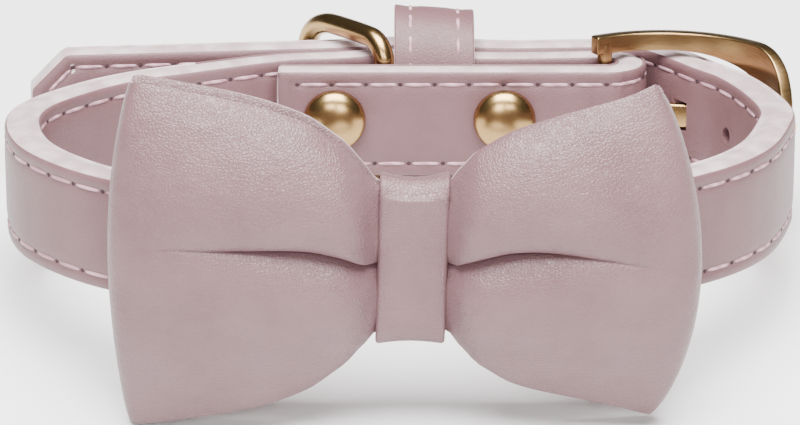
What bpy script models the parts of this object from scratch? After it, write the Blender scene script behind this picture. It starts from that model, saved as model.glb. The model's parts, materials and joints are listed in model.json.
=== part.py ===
"""Pet bow tie collar: a padded leather strap with a buckle, keeper, D-ring, rivets and a folded bow.

Each piece is modelled with the collar's axis upright, the bow at -Y, and z = 0 at the strap's mid height.
At the end the whole collar is pitched back on its bow and buckle, as it stands by itself.
"""

import math

import bmesh
import bpy
from mathutils import Matrix, Vector

MM = 0.001

# Driving sizes, millimetres
CLEAR = 0.3

STRAP_WIDTH = 15.0
STRAP_THICK = 4.8
FOLD_THICK = 4.4
STRAP_EDGE_R = 0.9
STITCH_INSET = 2.0
STITCH_DIP = 0.3
STITCH_SPREAD = 1.6

LOOP_WIDTH = 101.4
LOOP_DEPTH = 52.4
LOOP_FRONT = 22.8
LOOP_CENTRE_Y = 7.0
PATH_STEP = 3.2

FLAP_END_X = -16.4
TAIL_END_X = -50.0
TAIL_BLUNT = 2.6
TAIL_LOOSE = 0.3
TAIL_LAY = 3.0
HOLE_DIA = 2.2
HOLE_PITCH = 8.0
HOLE_COUNT = 5
PRONG_HOLE_INDEX = 1

BAR_INSET = 20.9
BAR_DIA = 2.0
FRAME_CHORD = 24.0
FRAME_SAG = 5.2
FRAME_TURN = -19.5
FRAME_RAIL = 2.5
FRAME_THICK = 1.7
FRAME_CORNER = 8.0
FRAME_SIDE_CLEAR = 0.8
FRAME_HEEL = 1.7
FRAME_EASE = 0.35

PRONG_HEIGHT = 3.2
PRONG_THICK = 1.2
PRONG_HOOK = 6.5
PRONG_LIFT = 10.0
PRONG_EASE = 0.3
PRONG_NECK = 1.4

RING_WIRE = 2.8
RING_X = -2.1
RING_STRAIGHT = 7.0
RING_REACH = 17.6
RING_SQUARE = 3.4
RING_SIDE_CLEAR = 0.5
RING_SWING = 38.0
RING_RAISE = 0.35
RING_CORNER = 3.2
RING_LAP = 0.1

KEEPER_WIDTH = 10.8
KEEPER_LEATHER = 1.3
KEEPER_RISE = 3.0
KEEPER_DROP = 1.5
KEEPER_TOP_SPRING = 3.4
KEEPER_BOTTOM_SPRING = 2.2

RIVET_X = (-8.7, 13.9)
RIVET_Z = 0.8
RIVET_DIA = 8.3
RIVET_DOME = 2.0
RIVET_LIP = 0.5
RIVET_SHANK = 3.0
RIVET_DISC = 6.0
RIVET_DISC_THICK = 0.8
RIVET_SINK = 1.9

BOW_X = 0.9
BOW_WIDTH = 70.4
BOW_HEIGHT = 44.0
BOW_WAIST = 19.0
BOW_LEATHER = 1.0
BOW_BULGE = 5.2
BOW_CURL = 2.6
BOW_GAP = 3.0
BOW_CREASE = 2.6

KNOT_X = 1.5
KNOT_WIDTH = 8.4
KNOT_LEATHER = 1.1
KNOT_CORNER = 1.5
KNOT_INNER_R = 0.3

SLOT_OVER = 0.4
CUT_OVER = 2.0


def clear_scene():
    for old in list(bpy.data.objects):
        bpy.data.objects.remove(old, do_unlink=True)


def material(name, colour, rough, metal):
    made = bpy.data.materials.new(name)
    made.use_nodes = True
    shader = made.node_tree.nodes["Principled BSDF"]
    shader.inputs["Base Color"].default_value = (*colour, 1.0)
    shader.inputs["Roughness"].default_value = rough
    shader.inputs["Metallic"].default_value = metal
    made.diffuse_color = (*colour, 1.0)
    return made


def mesh_object(name, points, faces, finish, sharp_deg=40.0):
    """One object from points in millimetres, shaded smooth up to the given angle."""
    mesh = bpy.data.meshes.new(name)
    mesh.from_pydata([Vector(p) * MM for p in points], [], faces)
    tidy = bmesh.new()
    tidy.from_mesh(mesh)
    bmesh.ops.recalc_face_normals(tidy, faces=tidy.faces)
    tidy.to_mesh(mesh)
    tidy.free()
    mesh.shade_smooth()
    mesh.set_sharp_from_angle(angle=math.radians(sharp_deg))
    made = bpy.data.objects.new(name, mesh)
    made.data.materials.append(finish)
    bpy.context.collection.objects.link(made)
    return made


def swept(rings, closed=False):
    """Points and faces of a body through equal rings, capped at both ends unless it closes on itself."""
    size = len(rings[0])
    points = [p for ring in rings for p in ring]
    faces = []
    count = len(rings)
    for i in range(count if closed else count - 1):
        a = i * size
        b = ((i + 1) % count) * size
        for j in range(size):
            k = (j + 1) % size
            faces.append((a + j, a + k, b + k, b + j))
    if not closed:
        faces.append(tuple(range(size)))
        faces.append(tuple(range((count - 1) * size, count * size)))
    return points, faces


def cutter(name, points, faces):
    """A closed body that only cuts."""
    made = mesh_object(name, points, faces, LEATHER)
    made.hide_render = True
    made.display_type = "WIRE"
    return made


def cut(target, tool):
    """Cuts the tool out of the target and removes the tool."""
    modifier = target.modifiers.new("cut", "BOOLEAN")
    modifier.object = tool
    modifier.operation = "DIFFERENCE"
    modifier.solver = "EXACT"
    with bpy.context.temp_override(object=target, active_object=target):
        bpy.ops.object.modifier_apply(modifier=modifier.name)
    bpy.data.objects.remove(tool, do_unlink=True)


def rod(name, start, end, radius, sides=12):
    """A round cutter between two points."""
    axis = (Vector(end) - Vector(start)).normalized()
    side = axis.orthogonal().normalized()
    other = axis.cross(side)
    turns = [2 * math.pi * i / sides for i in range(sides)]
    circle = [radius * (math.cos(t) * side + math.sin(t) * other) for t in turns]
    rings = [[Vector(p) + spoke for spoke in circle] for p in (start, end)]
    return cutter(name, *swept(rings))


def smooth_path(knots, step):
    """Points about one step apart on a Catmull-Rom curve through the knots (x, y, thickness)."""
    ends = [2 * knots[0] - knots[1], *knots, 2 * knots[-1] - knots[-2]]
    out = []
    for a, b, c, d in zip(ends, ends[1:], ends[2:], ends[3:]):
        count = max(1, round((c - b).xy.length / step))
        for i in range(count):
            t = i / count
            out.append(
                0.5 * (2 * b + (c - a) * t + (2 * a - 5 * b + 4 * c - d) * t * t + (3 * b - a - 3 * c + d) * t**3)
            )
    out.append(knots[-1].copy())
    return out


# The strap's way round, from named sizes

HALF_WIDTH = STRAP_WIDTH / 2
LOOP_A = (LOOP_WIDTH - STRAP_THICK) / 2
BAR_X = LOOP_A - BAR_INSET
FRONT_Y = -LOOP_FRONT + STRAP_THICK / 2
BACK_LINE = LOOP_DEPTH - LOOP_FRONT
FLAP_OUT = BACK_LINE + FOLD_THICK / 2
FOLD_R = BAR_DIA / 2 + CLEAR + FOLD_THICK / 2
BAR_Y = BACK_LINE + FOLD_R
TAIL_STEP = (FOLD_THICK + STRAP_THICK) / 2 + CLEAR


def layer_y(gap):
    """The centre line of the strap's second layer, where it stands this far off the flap."""
    return FLAP_OUT + gap + FOLD_THICK / 2


RING_GAP = RING_WIRE + 2 * CLEAR
KEEPER_GAP = KEEPER_LEATHER + 2 * CLEAR
KEEPER_X = RING_X + RING_WIRE / 2 + CLEAR + KEEPER_WIDTH / 2

# Gap between flap and second layer at places along the back: x, gap
BACK_LAYER = (
    (BAR_X, 2 * FOLD_R - FOLD_THICK),
    (RIVET_X[1], KEEPER_GAP),
    (KEEPER_X, KEEPER_GAP + 0.45 * (RING_GAP - KEEPER_GAP)),
    (RING_X, RING_GAP + RING_LAP),
    (RIVET_X[0], 0.62 * RING_GAP),
    (FLAP_END_X, 0.26 * RING_GAP),
)

# The loop past the flap, going left, forward, right and back: shares of half width and of depth
LOOP_KNOTS = (
    ("back left", -0.600, 0.985),
    ("left corner", -0.725, 0.850),
    ("left shoulder", -0.850, 0.630),
    ("left side", -0.970, 0.290),
    ("left", -0.995, -0.050),
    ("left front", -0.930, -0.430),
    ("left cheek", -0.750, -0.785),
    ("left of bow", -0.520, -0.970),
    ("behind bow left", -0.240, -1.000),
    ("behind bow right", 0.240, -1.000),
    ("right of bow", 0.540, -0.960),
    ("right cheek", 0.770, -0.720),
    ("right front", 0.915, -0.416),
    ("right", 0.990, -0.020),
    ("right side", 1.000, 0.240),
    ("right shoulder", 0.960, 0.600),
)

# Where the strap passes through the buckle: shares of the frame's chord, and of the thickness outward
FRAME_PASS = (
    ("at frame end", 0.727, -0.085),
    ("through frame", 0.556, 0.512),
)
BACK_DEPTH = BACK_LINE - LOOP_CENTRE_Y
FRONT_DEPTH = LOOP_CENTRE_Y - FRONT_Y

# The tail's bend round the fold: turn about the bar, and room left to the fold as a share of the thickness
TAIL_BEND = ((20.0, 0.396), (42.0, 0.271), (66.0, 0.125), (90.0, 0.021))

# Where the tail lies on the second layer, before it runs on straight and falls by this slope
TAIL_LAID = (RIVET_X[1], RING_X + TAIL_LAY, RIVET_X[0])
TAIL_FALL = 0.10


def loop_point(share_x, share_y):
    depth = BACK_DEPTH if share_y > 0 else FRONT_DEPTH
    return Vector((share_x * LOOP_A, LOOP_CENTRE_Y + share_y * depth, STRAP_THICK))


def frame_chord():
    """The direction of the buckle's chord from its bar, and the direction outward from it."""
    turn = math.radians(FRAME_TURN)
    chord = Vector((math.cos(turn), math.sin(turn)))
    return chord, Vector((-chord.y, chord.x))


def loop_knots():
    """Centre line of the loop, from past the flap round the neck and out through the buckle."""
    knots = [loop_point(x, y) for name, x, y in LOOP_KNOTS]
    chord, outward = frame_chord()
    for name, along, off in FRAME_PASS:
        place = Vector((BAR_X, BAR_Y)) + chord * along * FRAME_CHORD + outward * off * STRAP_THICK
        knots.append(Vector((place.x, place.y, STRAP_THICK)))
    return knots


def flap_and_fold():
    """Centre line of the inner flap and of the fold round the bar."""
    knots = [Vector((FLAP_END_X, BACK_LINE, FOLD_THICK))]
    for share in (0.25, 0.5, 0.75):
        knots.append(Vector((FLAP_END_X + share * (BAR_X - FLAP_END_X), BACK_LINE, FOLD_THICK)))
    for degrees in range(-90, 91, 18):
        turn = math.radians(degrees)
        knots.append(Vector((BAR_X + FOLD_R * math.cos(turn), BAR_Y + FOLD_R * math.sin(turn), FOLD_THICK)))
    return knots


def second_layer():
    return [Vector((x, layer_y(gap), FOLD_THICK)) for x, gap in BACK_LAYER[1:]]


def tail_knots():
    """Centre line of the tail: round the fold, over the second layer, then straight on."""
    knots = []
    for degrees, room in TAIL_BEND:
        turn = math.radians(degrees)
        reach = FOLD_R + TAIL_STEP + room * STRAP_THICK
        knots.append(Vector((BAR_X + reach * math.cos(turn), BAR_Y + reach * math.sin(turn), STRAP_THICK)))
    layer = dict(BACK_LAYER)
    gaps = (layer[RIVET_X[1]], layer[RING_X], layer[RIVET_X[0]])
    lay = TAIL_STEP + TAIL_LOOSE
    knots += [Vector((x, layer_y(gap) + lay, STRAP_THICK)) for x, gap in zip(TAIL_LAID, gaps)]
    last = knots[-1]
    for share in (0.35, 0.7, 1.0):
        x = last.x + share * (TAIL_END_X - last.x)
        knots.append(Vector((x, last.y + TAIL_FALL * (x - last.x), STRAP_THICK)))
    return knots


def strap_path():
    return smooth_path(flap_and_fold() + second_layer() + loop_knots() + tail_knots(), PATH_STEP)


def strap_section(thick, half_width):
    """Half section's points as (across the thickness, along the width), all the way round."""
    half = thick / 2
    edge = STRAP_EDGE_R
    stitch = half_width - STITCH_INSET
    side = [
        (half - 0.25 * edge, half_width - edge),
        (half - STITCH_DIP, stitch),
        (half, stitch - STITCH_SPREAD),
        (half, -stitch + STITCH_SPREAD),
        (half - STITCH_DIP, -stitch),
        (half - 0.25 * edge, -half_width + edge),
        (half - edge, -half_width),
    ]
    side.insert(0, (half - edge, half_width))
    return side + [(-x, -z) for x, z in side]


def strap_rings(path):
    rings = []
    total = len(path)
    for i, here in enumerate(path):
        ahead = path[min(i + 1, total - 1)]
        behind = path[max(i - 1, 0)]
        run = (ahead - behind).xy.normalized()
        out = Vector((run.y, -run.x, 0.0))
        rings.append(
            [Vector((here.x, here.y, 0.0)) + out * across + Vector((0, 0, z))
             for across, z in strap_section(here.z, HALF_WIDTH)]
        )
    return rings


def place_on_tail(path, distance):
    """The point and outward normal this far past the prong's hole, along the strap."""
    start = min(range(len(path) // 2, len(path)), key=lambda i: (path[i].xy - PRONG_HOLE_XY).length)
    gone = 0.0
    i = start
    step = 1 if distance > 0 else -1
    while gone < abs(distance):
        gone += (path[i + step].xy - path[i].xy).length
        i += step
    run = (path[i + 1] - path[i - 1]).xy.normalized()
    return path[i].xy, Vector((run.y, -run.x))


def arc_frame():
    """The buckle's neutral arc in plan: centre, radius, and the angles of its bar and of its end."""
    radius = FRAME_CHORD**2 / (8 * FRAME_SAG) + FRAME_SAG / 2
    start = Vector((BAR_X, BAR_Y))
    chord, outward = frame_chord()
    centre = start + chord * FRAME_CHORD / 2 - outward * (radius - FRAME_SAG)
    first = (start - centre).angle_signed(Vector((1, 0)))
    last = (start + chord * FRAME_CHORD - centre).angle_signed(Vector((1, 0)))
    return centre, radius, first, last


FRAME_CENTRE, FRAME_R, FRAME_FIRST, FRAME_LAST = arc_frame()


def on_frame(along, off, z):
    """A point this far along the buckle's arc from its bar, this far outward, at this height."""
    turn = FRAME_FIRST - along / FRAME_R
    reach = FRAME_R + off
    return Vector((FRAME_CENTRE.x + reach * math.cos(turn), FRAME_CENTRE.y + reach * math.sin(turn), z))


FRAME_INNER = HALF_WIDTH + FRAME_SIDE_CLEAR
FRAME_OUTER = FRAME_INNER + FRAME_RAIL
FRAME_LENGTH = FRAME_R * (FRAME_FIRST - FRAME_LAST)
PRONG_TIP = on_frame(FRAME_LENGTH, FRAME_THICK / 2 + CLEAR + PRONG_THICK / 2, 0.0)


def prong_line():
    """The prong's centre line in plan, from the bar and bending down over the buckle's end."""
    start = Vector((BAR_X, BAR_Y))
    end = PRONG_TIP.xy
    near = on_frame(FRAME_LENGTH - FRAME_RAIL / 2, 0.0, 0.0)
    beyond = on_frame(FRAME_LENGTH + FRAME_RAIL / 2, 0.0, 0.0)
    back = (near - beyond).xy.normalized()
    lifted = Matrix.Rotation(math.radians(PRONG_LIFT), 2) @ back
    hook = end + lifted * PRONG_HOOK
    shares = [i / 12 for i in range(13)]
    return [start * (1 - s) ** 2 + hook * 2 * s * (1 - s) + end * s * s for s in shares]


PRONG_LINE = prong_line()


def prong_hole():
    """Where the prong's line crosses the strap's centre line."""
    path = smooth_path(loop_knots()[-3:] + tail_knots()[:2], PATH_STEP / 6)
    return min((p.xy for p in path), key=lambda p: min((p - q).length for q in PRONG_LINE[4:11]))


PRONG_HOLE_XY = prong_hole()


def make_strap():
    path = strap_path()
    strap = mesh_object("strap", *swept(strap_rings(path)), LEATHER)
    for sign in (1, -1):
        blunt = sign * TAIL_BLUNT
        top = sign * (HALF_WIDTH + CUT_OVER)
        x = TAIL_END_X - CUT_OVER
        reach = TAIL_END_X + abs(top) - TAIL_BLUNT
        low = path[-1].y - 4 * STRAP_THICK
        high = path[-1].y + 4 * STRAP_THICK
        rings = [[(x, y, blunt), (reach, y, top), (x, y, top)] for y in (low, high)]
        cut(strap, cutter("tail_corner", *swept(rings)))
    for i in range(HOLE_COUNT):
        place, out = place_on_tail(path, (i - PRONG_HOLE_INDEX) * HOLE_PITCH)
        middle = Vector((place.x, place.y, 0.0))
        aim = Vector((out.x, out.y, 0.0)) * (STRAP_THICK / 2 + CLEAR / 2)
        if i == PRONG_HOLE_INDEX:
            make_prong_gap(strap)
            continue
        cut(strap, rod("hole", middle - aim, middle + aim, HOLE_DIA / 2))
    return strap


def make_prong_gap(strap):
    """The prong's way out through the strap, and the long slot at the fold."""
    half_z = PRONG_HEIGHT / 2 + SLOT_OVER
    half_y = PRONG_THICK / 2 + SLOT_OVER
    rings = []
    for behind, here, ahead in zip(PRONG_LINE[2:], PRONG_LINE[3:], PRONG_LINE[4:]):
        run = (ahead - behind).normalized()
        side = Vector((-run.y, run.x))
        corners = [(-half_y, -half_z), (half_y, -half_z), (half_y, half_z), (-half_y, half_z)]
        rings.append([(here.x + side.x * a, here.y + side.y * a, z) for a, z in corners])
    cut(strap, cutter("prong_hole", *swept(rings)))
    left = BAR_X - PRONG_EYE_R - SLOT_OVER
    half_z = half_z + SLOT_OVER / 2
    right = BAR_X + FOLD_R + FOLD_THICK / 2 + CLEAR / 2
    near = BACK_LINE - FOLD_THICK
    far = BAR_Y + FOLD_R + FOLD_THICK * 0.6
    rings = [[(x, y, z) for y, z in ((near, -half_z), (far, -half_z), (far, half_z), (near, half_z))]
             for x in (left, right)]
    cut(strap, cutter("fold_slot", *swept(rings)))


PRONG_EYE_R = BAR_DIA / 2 + CLEAR + PRONG_THICK


def rivet_depth(x):
    """The centre line of the second layer at this place, on a straight line between its stations."""
    for (right, gap_right), (left, gap_left) in zip(BACK_LAYER, BACK_LAYER[1:]):
        if left <= x <= right:
            share = (x - left) / (right - left)
            return layer_y(gap_left + share * (gap_right - gap_left))
    return layer_y(KEEPER_GAP)


def turned(profile, x, z, sides):
    """Points and faces of a body turned about a line along Y; the profile is (radius, y) from tip to tip."""
    points = [(x, profile[0][1], z)]
    for radius, y in profile[1:-1]:
        for i in range(sides):
            turn = 2 * math.pi * i / sides
            points.append((x + radius * math.cos(turn), y, z + radius * math.sin(turn)))
    points.append((x, profile[-1][1], z))
    last = len(points) - 1
    faces = []
    for i in range(sides):
        k = (i + 1) % sides
        faces.append((0, 1 + i, 1 + k))
        for row in range(len(profile) - 3):
            a = 1 + row * sides
            b = a + sides
            faces.append((a + i, b + i, b + k, a + k))
        a = 1 + (len(profile) - 3) * sides
        faces.append((a + i, last, a + k))
    return points, faces


def make_rivet(name, x, strap):
    """A turned rivet: low dome on the neck side, shank, and a disc sunk in the second layer."""
    face = BACK_LINE - FOLD_THICK / 2 - CLEAR
    outside = rivet_depth(x) + FOLD_THICK / 2
    disc = outside - RIVET_SINK + CLEAR
    shank = RIVET_SHANK / 2
    profile = [(0.0, face - RIVET_LIP - RIVET_DOME)]
    for degrees in (22, 42, 60, 76, 90):
        turn = math.radians(degrees)
        profile.append((RIVET_DIA / 2 * math.sin(turn), face - RIVET_LIP - RIVET_DOME * math.cos(turn)))
    profile += [(RIVET_DIA / 2, face), (shank, face), (shank, disc), (RIVET_DISC / 2, disc)]
    profile += [(RIVET_DISC / 2, disc + RIVET_DISC_THICK), (0.0, disc + RIVET_DISC_THICK)]
    mesh_object(name, *turned(profile, x, RIVET_Z, 24), GOLD)
    room = shank + CLEAR
    seat = RIVET_DISC / 2 + CLEAR
    start = face - CLEAR
    end = outside + 2 * CLEAR
    hollow = [(0.0, start), (room, start), (room, disc - CLEAR), (seat, disc - CLEAR), (seat, end), (0.0, end)]
    cut(strap, cutter("rivet_seat", *turned(hollow, x, RIVET_Z, 20)))


def frame_outline(inset):
    """The horseshoe outline as (along, z) from the upper heel round the end to the lower heel."""
    half = FRAME_OUTER - inset
    length = FRAME_LENGTH + FRAME_RAIL / 2 - inset
    corner = FRAME_CORNER - inset * 0.6
    heel = -FRAME_HEEL
    straight = length - corner
    points = [(heel + (straight - heel) * i / 5, half) for i in range(5)]
    for degrees in range(90, -1, -15):
        turn = math.radians(degrees)
        points.append((straight + corner * math.cos(turn), half - corner + corner * math.sin(turn)))
    return points + [(along, -z) for along, z in reversed(points)]


def make_frame():
    """The frame: a ring of rounded rail swept round the horseshoe, and its bar, joined."""
    outer = frame_outline(0.0)
    inner = frame_outline(FRAME_RAIL)
    half = FRAME_THICK / 2
    ease = FRAME_EASE
    rings = []
    for (s_out, z_out), (s_in, z_in) in zip(outer, inner):
        edge = ease / math.hypot(s_out - s_in, z_out - z_in)
        ring = []
        for share, off in (
            (0.0, half - ease), (edge, half), (1 - edge, half), (1.0, half - ease),
            (1.0, ease - half), (1 - edge, -half), (edge, -half), (0.0, ease - half),
        ):
            ring.append(on_frame(s_out + share * (s_in - s_out), off, z_out + share * (z_in - z_out)))
        rings.append(ring)
    frame = mesh_object("buckle_frame", *swept(rings), GOLD)
    turns = [2 * math.pi * i / 12 for i in range(12)]
    reach = FRAME_INNER + FRAME_RAIL / 2
    rings = [[(BAR_X + BAR_DIA / 2 * math.cos(t), BAR_Y + BAR_DIA / 2 * math.sin(t), z) for t in turns]
             for z in (-reach, reach)]
    bar = cutter("bar", *swept(rings))
    join = frame.modifiers.new("bar", "BOOLEAN")
    join.object = bar
    join.operation = "UNION"
    join.solver = "EXACT"
    with bpy.context.temp_override(object=frame, active_object=frame):
        bpy.ops.object.modifier_apply(modifier=join.name)
    bpy.data.objects.remove(bar, do_unlink=True)
    return frame


def make_prong():
    """The tongue: an open eye rolled round the bar, then a flat tongue that tapers to its tip."""
    inner = BAR_DIA / 2 + CLEAR / 2
    mid_r = inner + PRONG_THICK / 2
    line = [p for p in PRONG_LINE if (p - PRONG_LINE[0]).length > mid_r + PRONG_NECK]
    heading = (PRONG_LINE[2] - PRONG_LINE[0]).normalized()
    base = math.atan2(heading.y, heading.x)
    centres = []
    for degrees in range(60, 351, 29):
        turn = base + math.radians(degrees)
        centres.append(PRONG_LINE[0] + mid_r * Vector((math.cos(turn), math.sin(turn))))
    centres += line
    tip = (line[-1] - line[-2]).normalized()
    centres.append(line[-1] + tip * FRAME_RAIL * 0.42)
    rings = []
    total = len(centres)
    for i, here in enumerate(centres):
        run = (centres[min(i + 1, total - 1)] - centres[max(i - 1, 0)]).normalized()
        out = Vector((-run.y, run.x))
        taper = 0.72 if i == total - 1 else 0.92 if i == total - 2 else 1.0
        half_y = PRONG_THICK / 2 * taper
        half_z = PRONG_HEIGHT / 2 * taper
        ease = PRONG_EASE
        ring = []
        for a, z in (
            (half_y, half_z - ease), (half_y - ease, half_z), (ease - half_y, half_z), (-half_y, half_z - ease),
            (-half_y, ease - half_z), (ease - half_y, -half_z), (half_y - ease, -half_z), (half_y, ease - half_z),
        ):
            ring.append((here.x + out.x * a, here.y + out.y * a, z))
        rings.append(ring)
    return mesh_object("prong", *swept(rings), GOLD)


def make_ring():
    """The D-ring: straight bar between the layers, two arms, and a rounded end, swung to the left."""
    half = HALF_WIDTH + RING_SIDE_CLEAR + RING_WIRE / 2
    corner = RING_CORNER
    swing = math.radians(RING_SWING)
    away = Vector((-math.sin(swing), math.cos(swing), 0.0))
    centre = Vector((RING_X, FLAP_OUT + CLEAR + RING_WIRE / 2, RING_RAISE))
    route = [(0.0, 0.0)]
    route += [(0.0, (half - corner) * share) for share in (0.5, 1.0)]
    for degrees in (157.5, 135, 112.5, 90):
        turn = math.radians(degrees)
        route.append((corner + corner * math.cos(turn), half - corner + corner * math.sin(turn)))
    power = 2 / RING_SQUARE
    for degrees in (90, 76, 64, 52, 40, 28, 16, 7):
        turn = math.radians(degrees)
        along = RING_STRAIGHT + (RING_REACH - RING_STRAIGHT) * max(0.0, math.cos(turn)) ** power
        route.append((along, half * math.sin(turn) ** power))
    route.append((RING_REACH, 0.0))
    route += [(t, -z) for t, z in reversed(route[1:-1])]
    rings = []
    total = len(route)
    sides = 10
    for i, (t, z) in enumerate(route):
        ahead = route[(i + 1) % total]
        behind = route[i - 1]
        run = Vector((ahead[0] - behind[0], ahead[1] - behind[1])).normalized()
        out = Vector((run.y, -run.x))
        here = centre + away * t + Vector((0, 0, z))
        side = away.cross(Vector((0, 0, 1)))
        ring = []
        for k in range(sides):
            turn = 2 * math.pi * (k + 0.5) / sides
            off = out * math.cos(turn) * RING_WIRE / 2
            ring.append(here + away * off.x + Vector((0, 0, off.y)) + side * math.sin(turn) * RING_WIRE / 2)
        rings.append(ring)
    return mesh_object("d_ring", *swept(rings, closed=True), GOLD)


def make_keeper():
    """The keeper: a leather loop round second layer and tail, arched above and flatter below."""
    near = FLAP_OUT + CLEAR + KEEPER_LEATHER / 2
    far = layer_y(RING_GAP) + TAIL_STEP + TAIL_LOOSE + STRAP_THICK / 2 + 2 * CLEAR + KEEPER_LEATHER / 2
    middle = (near + far) / 2
    half = (far - near) / 2
    top = HALF_WIDTH + CLEAR + KEEPER_RISE + KEEPER_LEATHER / 2
    bottom = HALF_WIDTH + CLEAR + KEEPER_DROP + KEEPER_LEATHER / 2
    route = [(near, 0.0)]
    for sign, reach, power in ((1, top, 2.0), (-1, bottom, 5.0)):
        start = HALF_WIDTH - (KEEPER_TOP_SPRING if sign > 0 else KEEPER_BOTTOM_SPRING)
        arch = []
        for degrees in range(0, 181, 18):
            turn = math.radians(degrees)
            across = -math.copysign(abs(math.cos(turn)) ** (2 / power), math.cos(turn))
            rise = math.sin(turn) ** (2 / power)
            arch.append((middle + half * across, sign * (start + (reach - start) * rise)))
        route += arch if sign > 0 else [(far, 0.0)] + arch[::-1]
    rings = []
    total = len(route)
    half_x = KEEPER_WIDTH / 2
    half_t = KEEPER_LEATHER / 2
    for i, (y, z) in enumerate(route):
        ahead = route[(i + 1) % total]
        behind = route[i - 1]
        run = Vector((ahead[0] - behind[0], ahead[1] - behind[1])).normalized()
        out = Vector((-run.y, run.x))
        ring = []
        for a, x in ((half_t, -half_x), (half_t, half_x), (-half_t, half_x), (-half_t, -half_x)):
            ring.append((KEEPER_X + x, y + out.x * a, z + out.y * a))
        rings.append(ring)
    return mesh_object("keeper", *swept(rings, closed=True), LEATHER)


# The bow's sections from the knot to the end fold, as shares: place along half the width, half height,
# bulge, spread between the layers, curl of the rims, depth of the crease
WAIST = BOW_WAIST / BOW_HEIGHT
BOW_SECTIONS = (
    ("pinch", 0.000, WAIST, 0.00, 0.00, 0.00, 0.00),
    ("knot edge", 0.125, WAIST, 0.00, 0.00, 0.00, 0.00),
    ("flare", 0.160, 0.530, 0.34, 0.16, 0.00, 0.72),
    ("shoulder", 0.220, 0.650, 0.62, 0.34, 0.04, 1.00),
    ("rise", 0.340, 0.785, 0.86, 0.62, 0.20, 0.80),
    ("crown", 0.480, 0.865, 1.00, 0.88, 0.45, 0.42),
    ("mid lobe", 0.620, 0.915, 0.95, 1.00, 0.68, 0.18),
    ("outer lobe", 0.770, 0.952, 0.78, 1.00, 0.85, 0.05),
    ("near fold", 0.900, 0.983, 0.58, 0.90, 0.96, 0.00),
    ("fold", 1.000, 1.000, 0.42, 0.70, 1.00, 0.00),
)
BOW_BACK_Y = -LOOP_FRONT - CLEAR - KNOT_LEATHER - CLEAR
BOW_END_BOW = 0.10


def bow_section(share):
    """The table's values at this share of the half width, eased between its rows."""
    for low, high in zip(BOW_SECTIONS, BOW_SECTIONS[1:]):
        if share <= high[1] + 1e-9:
            t = (share - low[1]) / (high[1] - low[1])
            return [a + t * (b - a) for a, b in zip(low[2:], high[2:])]
    return list(BOW_SECTIONS[-1][2:])


def bow_point(share, side, v):
    """A point of the band's outer face: share of the half width, front (1) or back (-1), height from -1 to 1."""
    height, bulge, spread, curl, crease = bow_section(abs(share))
    half_wall = BOW_LEATHER + CLEAR / 2
    closing = math.sqrt(max(0.0, 1.0 - abs(share) ** 14))
    end = 1.0 - BOW_END_BOW * v * v * abs(share) ** 3
    x = KNOT_X + abs(share) * (BOW_X - KNOT_X) + share * end * BOW_WIDTH / 2
    z = v * height * BOW_HEIGHT / 2
    belly = 1.0 - v * v
    fold = math.exp(-(v / 0.22) ** 2)
    middle = BOW_BACK_Y - half_wall - bulge * BOW_BULGE * 0.5 * belly + curl * BOW_CURL * v * v
    gap = half_wall + spread * BOW_GAP * (0.45 + 0.35 * belly)
    front = middle - gap * closing + crease * BOW_CREASE * fold * (0.6 if side > 0 else 0.0)
    back = middle + gap * closing
    limit = BOW_BACK_Y + curl * BOW_CURL * v * v
    return Vector((x, front if side > 0 else min(back, limit), z))


def make_bow():
    shares = (0.0, 0.055, 0.12, 0.16, 0.22, 0.30, 0.39, 0.48, 0.58, 0.68, 0.77, 0.85, 0.91, 0.955, 0.985, 1.0)
    rows = 12
    loop = [(s, 1) for s in shares] + [(s, -1) for s in reversed(shares[:-1])]
    loop += [(-s, -1) for s in shares[1:]] + [(-s, 1) for s in reversed(shares[1:-1])]
    points = []
    for i in range(rows + 1):
        v = -1.0 + 2.0 * i / rows
        points += [bow_point(share, side, v) for share, side in loop]
    size = len(loop)
    faces = []
    for i in range(rows):
        for j in range(size):
            k = (j + 1) % size
            a = i * size
            faces.append((a + j, a + k, a + size + k, a + size + j))
    bow = mesh_object("bow", points, faces, LEATHER)
    wall = bow.modifiers.new("wall", "SOLIDIFY")
    wall.thickness = BOW_LEATHER * MM
    wall.offset = -1.0
    wall.use_even_offset = False
    return bow


def make_knot():
    """The band round the bow's waist, a rounded ring in side view."""
    top = BOW_WAIST / 2 + CLEAR
    near = BOW_BACK_Y + CLEAR
    far = BOW_BACK_Y - 2 * (BOW_LEATHER + CLEAR / 2) - CLEAR
    half_x = KNOT_WIDTH / 2
    rings = []
    steps = 4
    corners = ((0, 1, 1, near, top), (1, -1, 1, far, top), (2, -1, -1, far, -top), (3, 1, -1, near, -top))
    for quarter, sign_y, sign_z, y, z in corners:
        for i in range(steps + 1):
            turn = math.pi / 2 * (quarter + i / steps)
            ring = []
            for radius, grow, x in (
                (KNOT_INNER_R, 0.0, -half_x), (KNOT_INNER_R, 0.0, half_x),
                (KNOT_CORNER, KNOT_LEATHER, half_x), (KNOT_CORNER, KNOT_LEATHER, -half_x),
            ):
                centre_y = y + sign_y * (grow - radius)
                centre_z = z + sign_z * (grow - radius)
                ring.append((KNOT_X + x, centre_y + radius * math.cos(turn), centre_z + radius * math.sin(turn)))
            rings.append(ring)
    return mesh_object("knot", *swept(rings, closed=True), LEATHER)


def rest_pitch(points):
    """How far the collar leans so that its lowest front and back points stand at one height."""
    front = [p for p in points if p.y < 0]
    back = [p for p in points if p.y > 0]
    low, high = 0.0, math.radians(40.0)
    for step in range(40):
        mid = (low + high) / 2
        sin, cos = math.sin(mid), math.cos(mid)
        front_low = min(p.z * cos - p.y * sin for p in front)
        back_low = min(p.z * cos - p.y * sin for p in back)
        if back_low > front_low:
            low = mid
        else:
            high = mid
    return -low


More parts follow.
